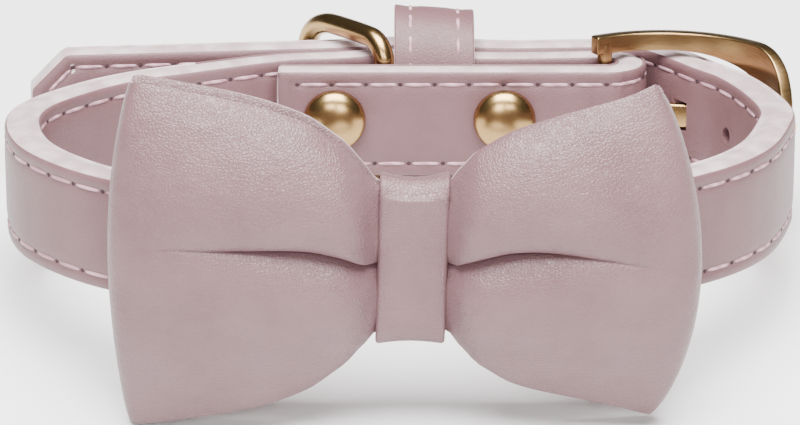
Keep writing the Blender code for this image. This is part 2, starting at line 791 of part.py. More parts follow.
def stand_collar(pieces):
    """Parents all pieces to one empty, which leans and carries the collar to the ground's origin."""
    rest = bpy.data.objects.new("rest", None)
    bpy.context.collection.objects.link(rest)
    points = [v.co.copy() for piece in pieces for v in piece.data.vertices]
    turn = Matrix.Rotation(rest_pitch(points), 4, "X")
    turned = [turn @ p for p in points]
    low = [min(p[i] for p in turned) for i in range(3)]
    high = [max(p[i] for p in turned) for i in range(3)]
    place = Vector((-(low[0] + high[0]) / 2, -(low[1] + high[1]) / 2, -low[2]))
    rest.matrix_world = Matrix.Translation(place) @ turn
    for piece in pieces:
        piece.parent = rest
    bpy.context.view_layer.update()


clear_scene()
LEATHER = material("mauve_leather", (0.42, 0.30, 0.31), 0.45, 0.0)
GOLD = material("satin_gold", (0.62, 0.42, 0.22), 0.28, 1.0)

strap_piece = make_strap()
for rivet_name, rivet_x in zip(("rivet_left", "rivet_right"), RIVET_X):
    make_rivet(rivet_name, rivet_x, strap_piece)
make_frame()
make_prong()
make_ring()
make_keeper()
make_bow()
make_knot()
stand_collar([piece for piece in bpy.data.objects if piece.type == "MESH"])
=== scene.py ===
# %% [markdown]
# # A bow tie collar for a pet, dressed for its picture
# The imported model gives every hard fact: where each piece stands, how the D-ring swings, how big it all is.
# This file puts soft leather, thread and satin metal round those facts, one piece at a time. Each piece is
# modelled straight or flat on the collar's own axes, as on a bench, and is then seated where it belongs.

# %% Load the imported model
import json
import math

import bmesh
import bpy
from mathutils import Matrix, Vector

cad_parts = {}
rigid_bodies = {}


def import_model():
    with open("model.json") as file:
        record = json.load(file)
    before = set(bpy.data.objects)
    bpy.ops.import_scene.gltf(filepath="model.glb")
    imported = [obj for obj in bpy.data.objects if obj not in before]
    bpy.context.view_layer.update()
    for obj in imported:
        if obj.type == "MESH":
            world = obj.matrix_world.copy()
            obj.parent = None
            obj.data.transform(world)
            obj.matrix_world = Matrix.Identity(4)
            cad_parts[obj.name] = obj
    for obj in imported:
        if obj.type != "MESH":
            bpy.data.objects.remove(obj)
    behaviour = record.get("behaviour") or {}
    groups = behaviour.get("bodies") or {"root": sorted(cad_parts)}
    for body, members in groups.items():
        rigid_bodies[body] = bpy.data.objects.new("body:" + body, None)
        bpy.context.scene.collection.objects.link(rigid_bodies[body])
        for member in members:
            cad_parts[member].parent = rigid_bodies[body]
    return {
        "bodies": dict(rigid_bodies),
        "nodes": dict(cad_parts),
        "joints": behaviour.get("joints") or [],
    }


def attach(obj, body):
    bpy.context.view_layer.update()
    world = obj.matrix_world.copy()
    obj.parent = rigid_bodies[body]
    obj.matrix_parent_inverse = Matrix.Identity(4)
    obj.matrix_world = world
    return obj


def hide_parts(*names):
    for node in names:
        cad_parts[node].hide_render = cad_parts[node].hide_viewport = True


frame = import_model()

MM = 0.001
kept = [*frame["bodies"].values(), *frame["nodes"].values()]
for other in list(bpy.data.objects):
    if other not in kept:
        bpy.data.objects.remove(other, do_unlink=True)
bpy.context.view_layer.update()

# %% [markdown]
# ## The bench and the table
# The collar stands on a table and leans back a little, so its own upright axis isn't the world's. Modelling
# on a leaning axis is awkward. Every piece is therefore made upright, about the neck's middle, with the bow
# at -Y and the strap's middle line at z = 0, and one matrix carries it to its place at the end. The D-ring's
# hinge is parallel to the collar's axis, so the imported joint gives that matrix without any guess.

# %% The collar's own axes
RING_HINGE = Vector((-2.1, 33.5, 0.0)) * MM

hinge = frame["joints"][0]
collar_up = Vector(hinge["axis"]).normalized()
collar_side = Vector((1.0, 0.0, 0.0))
collar_back = collar_up.cross(collar_side)
lean = Matrix((collar_side, collar_back, collar_up)).transposed()
COLLAR = Matrix.Translation(Vector(hinge["pos_m"]) - lean @ RING_HINGE) @ lean.to_4x4()
print("lean of the collar:", round(math.degrees(collar_up.angle(Vector((0, 0, 1)))), 2), "degrees")


# %% Small helpers for working as by hand
def only(piece):
    """Makes this the one selected and active object."""
    bpy.ops.object.select_all(action="DESELECT")
    piece.select_set(True)
    bpy.context.view_layer.objects.active = piece


def pick(kind, test):
    """In edit mode, selects the vertices, edges or faces that pass the test."""
    bpy.ops.mesh.select_mode(type=kind)
    bpy.ops.mesh.select_all(action="DESELECT")
    mesh = bpy.context.object.data
    shape = bmesh.from_edit_mesh(mesh)
    parts = {"VERT": shape.verts, "EDGE": shape.edges, "FACE": shape.faces}[kind]
    for part in parts:
        if test(part):
            part.select_set(True)
    shape.select_flush_mode()
    bmesh.update_edit_mesh(mesh)


def apply_modifier(piece, kind, **settings):
    """Adds a modifier with its settings and applies it at once."""
    only(piece)
    made = piece.modifiers.new(kind.lower(), kind)
    for key, value in settings.items():
        setattr(made, key, value)
    bpy.ops.object.modifier_apply(modifier=made.name)


def settle(piece):
    """Writes the piece's place, turn and scale into its mesh."""
    only(piece)
    bpy.ops.object.transform_apply(location=True, rotation=True, scale=True)


def soften(piece, width, segments, degrees=40.0, **more):
    """Rounds, by this many millimetres, the edges that are sharper than this angle."""
    apply_modifier(
        piece, "BEVEL", width=width * MM, segments=segments, limit_method="ANGLE",
        angle_limit=math.radians(degrees), **more)


def smooth(piece, degrees):
    """Shades the piece smooth, with its sharper edges left crisp."""
    only(piece)
    bpy.ops.object.shade_smooth_by_angle(angle=math.radians(degrees))


def seat(piece, name, body, slot, *nodes):
    """Carries a finished piece from the bench to its place on the table, and ties it to its body."""
    piece.name = name
    piece.data.name = name
    piece.matrix_world = COLLAR @ piece.matrix_world
    settle(piece)
    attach(piece, body)
    if nodes:
        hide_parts(*nodes)
    lowest = min(v.co.z for v in piece.data.vertices) / MM
    triangles = sum(len(face.vertices) - 2 for face in piece.data.polygons)
    print(f"{name}: {triangles} triangles, lowest {lowest:.2f} mm")


# %% [markdown]
# ## Camera, table and light
# The picture was taken from in front and a little above, with a long lens, so the collar's near and far
# sides keep almost the same size. A short lens close by would be easier to place, but it would swell the
# bow. The lens stands half a metre away, and its height above the table is the view's angle to the leaning
# collar.

# %% The camera
VIEW_DISTANCE = 0.500
VIEW_TO_COLLAR = 18.5
FOCAL_PIXELS = 3950.0
PICTURE_WIDTH = 800.0
PICTURE_HEIGHT = 425.0
COLLAR_PIXEL = Vector((400.0, 190.0))
SENSOR = 36.0

rise = math.radians(VIEW_TO_COLLAR)
towards = (lean @ Vector((0.0, -math.cos(rise), math.sin(rise)))).normalized()
aim = COLLAR.translation
camera = bpy.data.objects.new("camera", bpy.data.cameras.new("camera"))
bpy.context.scene.collection.objects.link(camera)
camera.data.sensor_width = SENSOR
camera.data.lens = FOCAL_PIXELS * SENSOR / PICTURE_WIDTH
camera.data.shift_x = (PICTURE_WIDTH / 2 - COLLAR_PIXEL.x) / PICTURE_WIDTH
camera.data.shift_y = (COLLAR_PIXEL.y - PICTURE_HEIGHT / 2) / PICTURE_WIDTH
camera.data.clip_start = 0.02
camera.location = aim + towards * VIEW_DISTANCE
camera.rotation_euler = (-towards).to_track_quat("-Z", "Y").to_euler()
bpy.context.scene.camera = camera
print("camera is", round(math.degrees(math.asin(towards.z)), 1), "degrees above the table")


# %% The table and the light
ROOM_LIGHT = 0.08


def softbox(name, place, size, power):
    """A square area light that faces the collar."""
    lamp = bpy.data.objects.new(name, bpy.data.lights.new(name, "AREA"))
    bpy.context.scene.collection.objects.link(lamp)
    lamp.data.shape = "SQUARE"
    lamp.data.size = size
    lamp.data.energy = power
    lamp.location = place
    lamp.rotation_euler = (aim - Vector(place)).to_track_quat("-Z", "Y").to_euler()


softbox("overhead softbox", (0.0, -0.10, 0.62), 0.50, 20.0)
softbox("left softbox", (-0.16, -0.78, 0.50), 0.25, 3.2)
softbox("right softbox", (0.20, -0.76, 0.46), 0.25, 2.8)

world = bpy.data.worlds.new("studio")
bpy.context.scene.world = world
world.use_nodes = True
room = world.node_tree.nodes["Background"]
room.inputs["Color"].default_value = (1.0, 1.0, 1.0, 1.0)
room.inputs["Strength"].default_value = ROOM_LIGHT

bpy.ops.object.select_all(action="DESELECT")
bpy.ops.mesh.primitive_plane_add(size=6.0, location=(0.0, 0.0, 0.0))
floor = bpy.context.object
floor.name = "floor"


# %% [markdown]
# ## Materials
# Every colour is a hex value as a paint shop would give it, and one function turns it to the linear values
# that Blender computes with. One small function adds a node with its settings and links, so that each
# material reads as a short list. Patterns are sized in millimetres: a texture's scale is how many of its
# cells lie in a metre.

# %% Colour and node helpers
def linear(code):
    """An sRGB hex colour as linear red, green, blue and alpha."""
    parts = [int(code[i:i + 2], 16) / 255 for i in (1, 3, 5)]
    return (*[p / 12.92 if p <= 0.04045 else ((p + 0.055) / 1.055) ** 2.4 for p in parts], 1.0)


def per_metre(size_mm):
    """The texture scale whose cells are this many millimetres wide."""
    return 1.0 / (size_mm * MM)


def new_material(name, colour, **values):
    """A material with its colour, and constant values set on the shader's own sockets."""
    made = bpy.data.materials.new(name)
    made.use_nodes = True
    shader = made.node_tree.nodes["Principled BSDF"]
    shader.inputs["Base Color"].default_value = linear(colour)
    for key, value in values.items():
        shader.inputs[key.replace("_", " ")].default_value = value
    return made


def add_node(made, kind, settings=None, values=None, links=None):
    """Adds one node with its settings, its sockets' values, and links from (node, socket) to its sockets."""
    tree = made.node_tree
    node = tree.nodes.new(kind)
    for key, value in (settings or {}).items():
        setattr(node, key, value)
    for key, value in (values or {}).items():
        node.inputs[key].default_value = value
    for key, (source, socket) in (links or {}).items():
        tree.links.new(source.outputs[socket], node.inputs[key])
    return node


def to_shader(made, socket, source, output):
    """Links a node's output to the shader."""
    tree = made.node_tree
    tree.links.new(source.outputs[output], tree.nodes["Principled BSDF"].inputs[socket])


# %% The table's paper
PAPER = new_material("white_paper", "#F7F6F5", Roughness=0.85)
floor.data.materials.append(PAPER)

# %% [markdown]
# ### Mauve leather
# The strap, keeper, bow and knot are PU leather: a fabric with a coat of soft plastic, pressed with a fine
# grain and left with a silky, half-matt face. The grain could be painted as an image, but an image would
# need a flat layout of every piece. A cell pattern on the object's own coordinates gives the same grain at
# its true size on any shape. Small cells make the pebbles of the grain, and a wide, faint noise lets the
# colour drift.

# %% Leather finish
# Sizes of the pattern's cells, in millimetres
LEATHER_GRAIN = 0.42
LEATHER_PORES = 0.16
LEATHER_DRIFT = 9.0
LEATHER_WARP = 1.6
LEATHER_WRINKLE = 1.9
WARP_REACH = 0.6
PORE_SHARE = 0.6


def leather(name, colour, light, dark, grain_depth, roughness, wrinkle=0.0):
    """PU leather: drifting colour, pebbled grain, and on the bow fine wrinkles that run across."""
    made = new_material(name, colour, Roughness=roughness, IOR=1.46)
    place = add_node(made, "ShaderNodeTexCoord")
    drift = add_node(
        made, "ShaderNodeTexNoise", {"noise_dimensions": "3D"},
        {"Scale": per_metre(LEATHER_DRIFT), "Detail": 3.0, "Roughness": 0.6},
        {"Vector": (place, "Object")})
    tone = add_node(made, "ShaderNodeValToRGB", links={"Fac": (drift, "Fac")})
    tone.color_ramp.elements[0].position = 0.3
    tone.color_ramp.elements[0].color = linear(dark)
    tone.color_ramp.elements[1].position = 0.7
    tone.color_ramp.elements[1].color = linear(light)
    to_shader(made, "Base Color", tone, "Color")
    warp = add_node(
        made, "ShaderNodeTexNoise", {"noise_dimensions": "3D"},
        {"Scale": per_metre(LEATHER_WARP), "Detail": 2.0}, {"Vector": (place, "Object")})
    shifted = add_node(
        made, "ShaderNodeVectorMath", {"operation": "MULTIPLY_ADD"}, {1: [WARP_REACH * MM] * 3},
        {0: (warp, "Color"), 2: (place, "Object")})
    cells = add_node(
        made, "ShaderNodeTexVoronoi", {"feature": "DISTANCE_TO_EDGE"},
        {"Scale": per_metre(LEATHER_GRAIN)}, {"Vector": (shifted, "Vector")})
    pebble = add_node(
        made, "ShaderNodeMapRange", values={"From Max": 0.25}, links={"Value": (cells, "Distance")})
    pores = add_node(
        made, "ShaderNodeTexNoise", {"noise_dimensions": "3D"},
        {"Scale": per_metre(LEATHER_PORES), "Detail": 2.0}, {"Vector": (place, "Object")})
    height = add_node(
        made, "ShaderNodeMath", {"operation": "MULTIPLY_ADD"}, {1: PORE_SHARE},
        {0: (pores, "Fac"), 2: (pebble, "Result")})
    grain = add_node(
        made, "ShaderNodeBump", values={"Strength": 1.0, "Distance": grain_depth * MM},
        links={"Height": (height, "Value")})
    last = grain
    if wrinkle:
        squeeze = add_node(
            made, "ShaderNodeMapping", values={"Scale": (0.35, 1.0, 1.0)},
            links={"Vector": (shifted, "Vector")})
        folds = add_node(
            made, "ShaderNodeTexNoise", {"noise_dimensions": "3D", "noise_type": "RIDGED_MULTIFRACTAL"},
            {"Scale": per_metre(LEATHER_WRINKLE), "Detail": 2.5, "Roughness": 0.55},
            {"Vector": (squeeze, "Vector")})
        last = add_node(
            made, "ShaderNodeBump", values={"Strength": 1.0, "Distance": wrinkle * MM},
            links={"Height": (folds, "Fac"), "Normal": (grain, "Normal")})
    to_shader(made, "Normal", last, "Normal")
    return made


STRAP_LEATHER = leather("pu_leather_strap", "#6E4F52", "#735457", "#694A4D", 0.022, 0.46)
BOW_LEATHER = leather("pu_leather_bow", "#6F5356", "#74585B", "#6A4E51", 0.038, 0.34, wrinkle=0.11)

# %% [markdown]
# ### Painted edge, with painted highlight
# The strap is cut from a stack of layers, and its raw edge is sealed with a few coats of edge paint. The
# paint dries to a smooth, slightly wavy skin, and a soft wide bump gives that wave. The edge is paler than
# the leather partly by the paint's own colour and partly as painted highlight for rims lit from above.

# %% Edge paint and cut edge, both partly painted highlight
EDGE_WAVE = 3.2
CUT_FIBRE = 0.8

# Paler than the leather: partly the paint's own colour, partly painted highlight of the lit rims.
EDGE_PAINT_AND_HIGHLIGHT = new_material("edge_paint_and_highlight", "#BDA7AA", Roughness=0.38, IOR=1.48)
edge_place = add_node(EDGE_PAINT_AND_HIGHLIGHT, "ShaderNodeTexCoord")
edge_wave = add_node(
    EDGE_PAINT_AND_HIGHLIGHT, "ShaderNodeTexNoise", {"noise_dimensions": "3D"},
    {"Scale": per_metre(EDGE_WAVE), "Detail": 2.0}, {"Vector": (edge_place, "Object")})
edge_tone = add_node(EDGE_PAINT_AND_HIGHLIGHT, "ShaderNodeValToRGB", links={"Fac": (edge_wave, "Fac")})
edge_tone.color_ramp.elements[0].position = 0.35
edge_tone.color_ramp.elements[0].color = linear("#AF989B")
edge_tone.color_ramp.elements[1].position = 0.65
edge_tone.color_ramp.elements[1].color = linear("#CBB7BA")
to_shader(EDGE_PAINT_AND_HIGHLIGHT, "Base Color", edge_tone, "Color")
edge_bump = add_node(
    EDGE_PAINT_AND_HIGHLIGHT, "ShaderNodeBump", values={"Strength": 1.0, "Distance": 0.05 * MM},
    links={"Height": (edge_wave, "Fac")})
to_shader(EDGE_PAINT_AND_HIGHLIGHT, "Normal", edge_bump, "Normal")

# Paler than the bow's leather: partly the cut edge's own colour, partly painted highlight for the bright line
# along the rims.
CUT_EDGE_AND_HIGHLIGHT = new_material("cut_leather_edge_and_highlight", "#A98F92", Roughness=0.5)
cut_place = add_node(CUT_EDGE_AND_HIGHLIGHT, "ShaderNodeTexCoord")
cut_fibre = add_node(
    CUT_EDGE_AND_HIGHLIGHT, "ShaderNodeTexNoise", {"noise_dimensions": "3D"},
    {"Scale": per_metre(CUT_FIBRE), "Detail": 3.0}, {"Vector": (cut_place, "Object")})
cut_tone = add_node(CUT_EDGE_AND_HIGHLIGHT, "ShaderNodeValToRGB", links={"Fac": (cut_fibre, "Fac")})
cut_tone.color_ramp.elements[0].color = linear("#9C8285")
cut_tone.color_ramp.elements[1].color = linear("#B8A0A3")
to_shader(CUT_EDGE_AND_HIGHLIGHT, "Base Color", cut_tone, "Color")

# %% [markdown]
# ### Thread
# The stitches are twisted polyester thread, a shade pinker than the leather. Its twist is a band pattern
# that runs across each stitch. The real ply is about 0.25 mm wide, too fine to show, so it is drawn as wide,
# faint bands. A Wave texture's diagonal bands repeat every 0.3628 m at scale 1, which is what its scale is
# worked out from.

# %% Thread, and the painted shadow in needle holes
WAVE_REPEAT = 0.3628
THREAD_TWIST = 1.451
HOLE_MOTTLE = 0.5

THREAD = new_material("polyester_thread", "#B8959D", Roughness=0.6)
thread_place = add_node(THREAD, "ShaderNodeTexCoord")
thread_twist = add_node(
    THREAD, "ShaderNodeTexWave", {"wave_type": "BANDS", "bands_direction": "DIAGONAL"},
    {"Scale": WAVE_REPEAT * per_metre(THREAD_TWIST), "Distortion": 0.6},
    {"Vector": (thread_place, "Object")})
thread_tone = add_node(THREAD, "ShaderNodeValToRGB", links={"Fac": (thread_twist, "Fac")})
thread_tone.color_ramp.elements[0].color = linear("#A47A84")
thread_tone.color_ramp.elements[1].color = linear("#C59CA6")
to_shader(THREAD, "Base Color", thread_tone, "Color")
thread_bump = add_node(
    THREAD, "ShaderNodeBump", values={"Strength": 0.8, "Distance": 0.05 * MM},
    links={"Height": (thread_twist, "Fac")})
to_shader(THREAD, "Normal", thread_bump, "Normal")

# A needle hole is dark only from shade, so this colour is painted shadow, with a random mottle.
PAINTED_HOLE_SHADOW = new_material("needle_hole_shadow", "#4A3238", Roughness=0.9)
hole_place = add_node(PAINTED_HOLE_SHADOW, "ShaderNodeTexCoord")
hole_noise = add_node(
    PAINTED_HOLE_SHADOW, "ShaderNodeTexNoise", {"noise_dimensions": "3D"},
    {"Scale": per_metre(HOLE_MOTTLE)}, {"Vector": (hole_place, "Object")})
hole_tone = add_node(PAINTED_HOLE_SHADOW, "ShaderNodeValToRGB", links={"Fac": (hole_noise, "Fac")})
hole_tone.color_ramp.elements[0].color = linear("#22141A")
hole_tone.color_ramp.elements[1].color = linear("#4A3036")
to_shader(PAINTED_HOLE_SHADOW, "Base Color", hole_tone, "Color")

# %% [markdown]
# ### Satin gold
# The buckle, prong, D-ring and rivets are zinc alloy with a pale gold plating. The buckle's faces were
# brushed along their length before plating, and the rivets were tumbled smooth. Brushing is a noise drawn
# out very long in one direction, which breaks the highlight into fine lines.

# %% Gold finishes
BRUSH_LINE = 0.12


def gold(name, colour, light, dark, roughness, brush_depth, run):
    """Plated gold; run is how far the brushing stretches along X, Y and Z."""
    made = new_material(name, colour, Metallic=1.0, Roughness=roughness)
    place = add_node(made, "ShaderNodeTexCoord")
    drawn = add_node(made, "ShaderNodeMapping", values={"Scale": run}, links={"Vector": (place, "Object")})
    lines = add_node(
        made, "ShaderNodeTexNoise", {"noise_dimensions": "3D"},
        {"Scale": per_metre(BRUSH_LINE), "Detail": 3.0, "Roughness": 0.7}, {"Vector": (drawn, "Vector")})
    tone = add_node(made, "ShaderNodeValToRGB", links={"Fac": (lines, "Fac")})
    tone.color_ramp.elements[0].position = 0.3
    tone.color_ramp.elements[0].color = linear(dark)
    tone.color_ramp.elements[1].position = 0.7
    tone.color_ramp.elements[1].color = linear(light)
    to_shader(made, "Base Color", tone, "Color")
    spread = add_node(
        made, "ShaderNodeMapRange", values={"To Min": roughness - 0.05, "To Max": roughness + 0.06},
        links={"Value": (lines, "Fac")})
    to_shader(made, "Roughness", spread, "Result")
    scratch = add_node(
        made, "ShaderNodeBump", values={"Strength": 1.0, "Distance": brush_depth * MM},
        links={"Height": (lines, "Fac")})
    to_shader(made, "Normal", scratch, "Normal")
    return made


BRUSHED_GOLD = gold("brushed_gold_plate", "#94774F", "#9E8159", "#8A6D46", 0.30, 0.006, (0.06, 0.06, 1.0))
SMOOTH_GOLD = gold("tumbled_gold_plate", "#A78859", "#B09162", "#9D7E50", 0.25, 0.002, (1.0, 1.0, 1.0))
print("materials:", sorted(m.name for m in bpy.data.materials))


# %% [markdown]
# ## The strap's way round
# One long strap makes the whole collar. It starts as a short flap inside the back, folds round the buckle's
# bar, runs back as a second layer, goes round the neck, passes through the buckle and ends as the tail.
# Bending it by hand would be hard to steer. The strap is therefore modelled straight, with its stitches, and
# a Curve modifier bends it all along one line, as a saddler stitches a strap flat and bends it afterwards.
# The line's points are the same as the model's solid has, as (across, back) in millimetres.

# %% The line that the strap follows
STRAP_LINE = (
    (-16.4, 29.6), (-5.45, 29.6), (5.5, 29.6), (16.45, 29.6), (27.4, 29.6), (28.48, 29.77),
    (29.46, 30.27), (30.23, 31.04), (30.73, 32.02), (30.9, 33.1), (30.73, 34.18), (30.23, 35.16),
    (29.46, 35.93), (28.48, 36.43), (27.4, 36.6), (13.9, 35.9), (5.0, 36.58), (-2.1, 37.5),
    (-8.7, 36.11), (-16.4, 34.88), (-28.98, 29.26), (-35.02, 26.21), (-41.06, 21.24), (-46.85, 13.55),
    (-48.06, 5.63), (-44.92, -4.78), (-36.22, -14.51), (-25.12, -19.58), (-11.59, -20.4), (11.59, -20.4),
    (26.08, -19.3), (37.19, -12.73), (44.19, -4.4), (47.82, 6.45), (48.3, 12.42), (46.37, 20.56),
    (43.71, 26.89), (40.8, 30.96), (37.08, 36.62), (34.61, 39.59), (31.06, 41.32), (27.4, 41.6),
    (13.9, 41.1), (0.9, 42.7), (-8.7, 41.31), (-23.16, 39.86), (-37.61, 38.42), (-50.0, 37.18),
)


def line_through(name, points, closed=False):
    """A flat Bezier curve that passes smoothly through points given in millimetres."""
    bpy.ops.object.select_all(action="DESELECT")
    bpy.ops.curve.primitive_bezier_curve_add(location=(0.0, 0.0, 0.0))
    line = bpy.context.object
    line.name = name
    line.data.dimensions = "2D"
    line.data.resolution_u = 32
    spline = line.data.splines[0]
    spline.bezier_points.add(len(points) - 2)
    spline.use_cyclic_u = closed
    knots = [Vector((x, y, 0.0)) * MM for x, y in points]
    ends = (knots[-1], knots[0]) if closed else (2 * knots[0] - knots[1], 2 * knots[-1] - knots[-2])
    knots = [ends[0], *knots, ends[1]]
    for point, before, here, after in zip(spline.bezier_points, knots, knots[1:], knots[2:]):
        point.handle_left_type = "FREE"
        point.handle_right_type = "FREE"
        point.co = here
        point.handle_left = here - (after - before) / 6
        point.handle_right = here + (after - before) / 6
    return line


def bend_along(line, *pieces):
    """Bends straight pieces along a line, and removes the line."""
    for piece in pieces:
        apply_modifier(piece, "CURVE", object=line, deform_axis="POS_X")
    bpy.data.objects.remove(line, do_unlink=True)


strap_line = line_through("strap_line", STRAP_LINE)
way = strap_line.data.splines[0]
STRAP_LENGTH = way.calc_length() / MM
print("strap length:", round(STRAP_LENGTH, 1), "mm")

# %% [markdown]
# ### The straight strap
# A leather strap isn't a plain bar: its faces are soft, a stitch line pulls a shallow groove near each edge,
# and the edge is rounded. A bar is cut to the tail's clipped tip first. Then both faces are inset again and
# again, each inset a little higher or lower than the last, so that rounding and groove follow the outline
# round the tip as well.

# %% Bar, clipped tip and inset faces
STRAP_WIDTH = 15.0
STRAP_THICK = 4.8
FOLD_THICK = 4.4
TIP_BLUNT = 2.6
# From the edge inwards: width of each inset, and the half thickness that it reaches
EDGE_HALF = 1.75
FACE_STEPS = (
    (0.20, 2.05), (0.30, 2.25), (0.50, 2.37), (0.50, 2.30), (0.50, 2.12), (0.50, 2.30), (0.80, 2.40),
)


def block(low, high):
    """A box between two corners, in millimetres."""
    low, high = Vector(low) * MM, Vector(high) * MM
    bpy.ops.object.select_all(action="DESELECT")
    bpy.ops.mesh.primitive_cube_add(size=1.0, location=(low + high) / 2)
    made = bpy.context.object
    made.scale = high - low
    settle(made)
    return made


strap = block((0.0, -EDGE_HALF, -STRAP_WIDTH / 2), (STRAP_LENGTH, EDGE_HALF, STRAP_WIDTH / 2))
bpy.ops.object.mode_set(mode="EDIT")
for side in (1, -1):
    bpy.ops.mesh.select_all(action="SELECT")
    bpy.ops.mesh.bisect(
        plane_co=(STRAP_LENGTH * MM, 0.0, side * TIP_BLUNT * MM), plane_no=(1.0, 0.0, side),
        use_fill=True, clear_outer=True)
pick("FACE", lambda face: abs(face.normal.y) > 0.9)
last_half = EDGE_HALF
for width, half in FACE_STEPS:
    bpy.ops.mesh.inset(thickness=width * MM, depth=(half - last_half) * MM, use_individual=True)
    last_half = half
bpy.ops.object.mode_set(mode="OBJECT")
print("strap blank:", len(strap.data.polygons), "faces")

# %% [markdown]
# ### Cuts across the strap
# A bar can only bend where it has vertices. A loop cut would add them by mouse. Without a window, bisect
# does the same at each chosen place. The cuts come four to a stitch, so that every needle hole has a vertex
# to pull in. Cuts along the strap give its edges vertices too.

# %% Cuts, four to a stitch
STITCH_INSET = 2.0
FIRST_HOLE = 2.75
CUTS_PER_STITCH = 4
tip_slope = STRAP_WIDTH / 2 - TIP_BLUNT
TIP_TURN = tip_slope + STITCH_INSET * (math.sqrt(2.0) - 1.0)
STITCHES = 84
STITCH_PITCH = (STRAP_LENGTH - TIP_TURN - FIRST_HOLE) / STITCHES
CUT_STEP = STITCH_PITCH / CUTS_PER_STITCH
CUTS_ALONG_FACE = (-2.8, -1.4, 0.0, 1.4, 2.8)
CUTS_ALONG_EDGE = (-1.1, 0.0, 1.1)


def cut_across(piece, axis, places):
    """Cuts the piece's faces by planes across an axis at these places, in millimetres."""
    normal = tuple(1.0 if i == axis else 0.0 for i in range(3))
    only(piece)
    bpy.ops.object.mode_set(mode="EDIT")
    for place in places:
        bpy.ops.mesh.select_all(action="SELECT")
        bpy.ops.mesh.bisect(plane_co=[place * MM * n for n in normal], plane_no=normal)
    bpy.ops.object.mode_set(mode="OBJECT")


cut_count = int((STRAP_LENGTH - FIRST_HOLE - 1.0) / CUT_STEP)
cut_across(strap, 0, [FIRST_HOLE + i * CUT_STEP for i in range(-2, cut_count + 1)])
cut_across(strap, 2, CUTS_ALONG_FACE)
cut_across(strap, 1, CUTS_ALONG_EDGE)
print("stitch pitch:", round(STITCH_PITCH, 3), "mm;", len(strap.data.polygons), "faces")

# %% [markdown]
# ### Needle pulls and crowned edges
# A sewing machine pulls the thread tight at every hole, so the groove dips there and swells between. The
# vertices at the holes go in, and those at the middle of a stitch come out a little. The lower row starts
# one cut later than the upper. The paint on the edges stands highest in the middle, and the folded end of
# the strap is skived thinner.

# %% Dimples, crowned edges and skived end
HOLE_PULL = 0.20
STITCH_SWELL = 0.05
ROW_SHIFT = {1: 0, -1: 1}
GROOVE_HALF = 2.12
EDGE_CROWN = 0.60
SKIVE_END = 98.0
SKIVE_RUN = 12.0
NEAR = 0.05

stitch_z = STRAP_WIDTH / 2 - STITCH_INSET
for vertex in strap.data.vertices:
    x, y, z = vertex.co / MM
    row = 1 if z > 0 else -1
    if abs(abs(z) - stitch_z) < NEAR and abs(y) > EDGE_HALF + 3 * NEAR:
        cut = round((x - FIRST_HOLE) / CUT_STEP) - ROW_SHIFT[row]
        pull = {0: HOLE_PULL, 2: -STITCH_SWELL}.get(cut % CUTS_PER_STITCH, 0.0)
        vertex.co.y -= math.copysign(pull * MM, y)
    if abs(z) > STRAP_WIDTH / 2 - NEAR and abs(y) < EDGE_HALF + NEAR:
        vertex.co.z -= math.copysign(EDGE_CROWN * (y / EDGE_HALF) ** 2 * MM, z)


def thickness_share(x):
    """How thick the strap is at this length, as a share: the folded end is skived a little thinner."""
    thin = FOLD_THICK / STRAP_THICK
    done = min(1.0, max(0.0, (x - SKIVE_END) / SKIVE_RUN))
    return thin + (1.0 - thin) * done


for vertex in strap.data.vertices:
    vertex.co.y *= thickness_share(vertex.co.x / MM)
strap.data.materials.append(STRAP_LEATHER)
strap.data.materials.append(EDGE_PAINT_AND_HIGHLIGHT)
painted = 0
# The side faces, the strap's edges, take the edge paint, whose paleness is partly painted highlight.
for face in strap.data.polygons:
    if abs(face.normal.y) < 0.80:
        face.material_index = 1
        painted += 1
apply_modifier(strap, "SUBSURF", levels=1, render_levels=1)
print("painted edge:", painted, "faces; strap:", len(strap.data.polygons), "faces")

# %% [markdown]
# ### Buckle holes
# Punched holes go straight through the strap, so they are cut while it is still straight: a Boolean modifier
# takes a short cylinder out at each place. Where along the strap they go is read off the line, from the
# place where the buckle's prong passes through it. The prong itself slants through its hole, and that one is
# cut after the bend.

# %% Holes every eight millimetres
PRONG_PLACE = Vector((41.16, 30.45, 0.0)) * MM
HOLE_PITCH = 8.0
HOLE_DIA = 2.2
OTHER_HOLES = (-1, 1, 2, 3)


def along_line(place, parts=24):
    """How far along the strap's line the point lies that is nearest to this place."""
    gone = 0.0
    best = (1.0, 0.0)
    for a, b in zip(way.bezier_points, way.bezier_points[1:]):
        steps = [a.co.copy()]
        for i in range(1, parts + 1):
            t = i / parts
            spot = (a.co * (1 - t) ** 3 + a.handle_right * 3 * t * (1 - t) ** 2
                    + b.handle_left * 3 * t * t * (1 - t) + b.co * t**3)
            gone += (spot - steps[-1]).length
            steps.append(spot)
            best = min(best, ((spot - place).length, gone))
    return best[1]


def cut_away(piece, tool):
    """Takes the tool's shape out of the piece, and removes the tool."""
    apply_modifier(piece, "BOOLEAN", object=tool, operation="DIFFERENCE", solver="EXACT")
    bpy.data.objects.remove(tool, do_unlink=True)


prong_at = along_line(PRONG_PLACE)
for count in OTHER_HOLES:
    spot = prong_at + count * HOLE_PITCH * MM
    bpy.ops.object.select_all(action="DESELECT")
    bpy.ops.mesh.primitive_cylinder_add(
        vertices=32, radius=HOLE_DIA / 2 * MM, depth=2 * STRAP_THICK * MM, location=(spot, 0.0, 0.0),
        rotation=(math.pi / 2, 0.0, 0.0))
    punch = bpy.context.object
    punch.data.materials.append(STRAP_LEATHER)
    cut_away(strap, punch)
print("prong passes at", round(prong_at / MM, 1), "mm; strap:", len(strap.data.polygons), "faces")

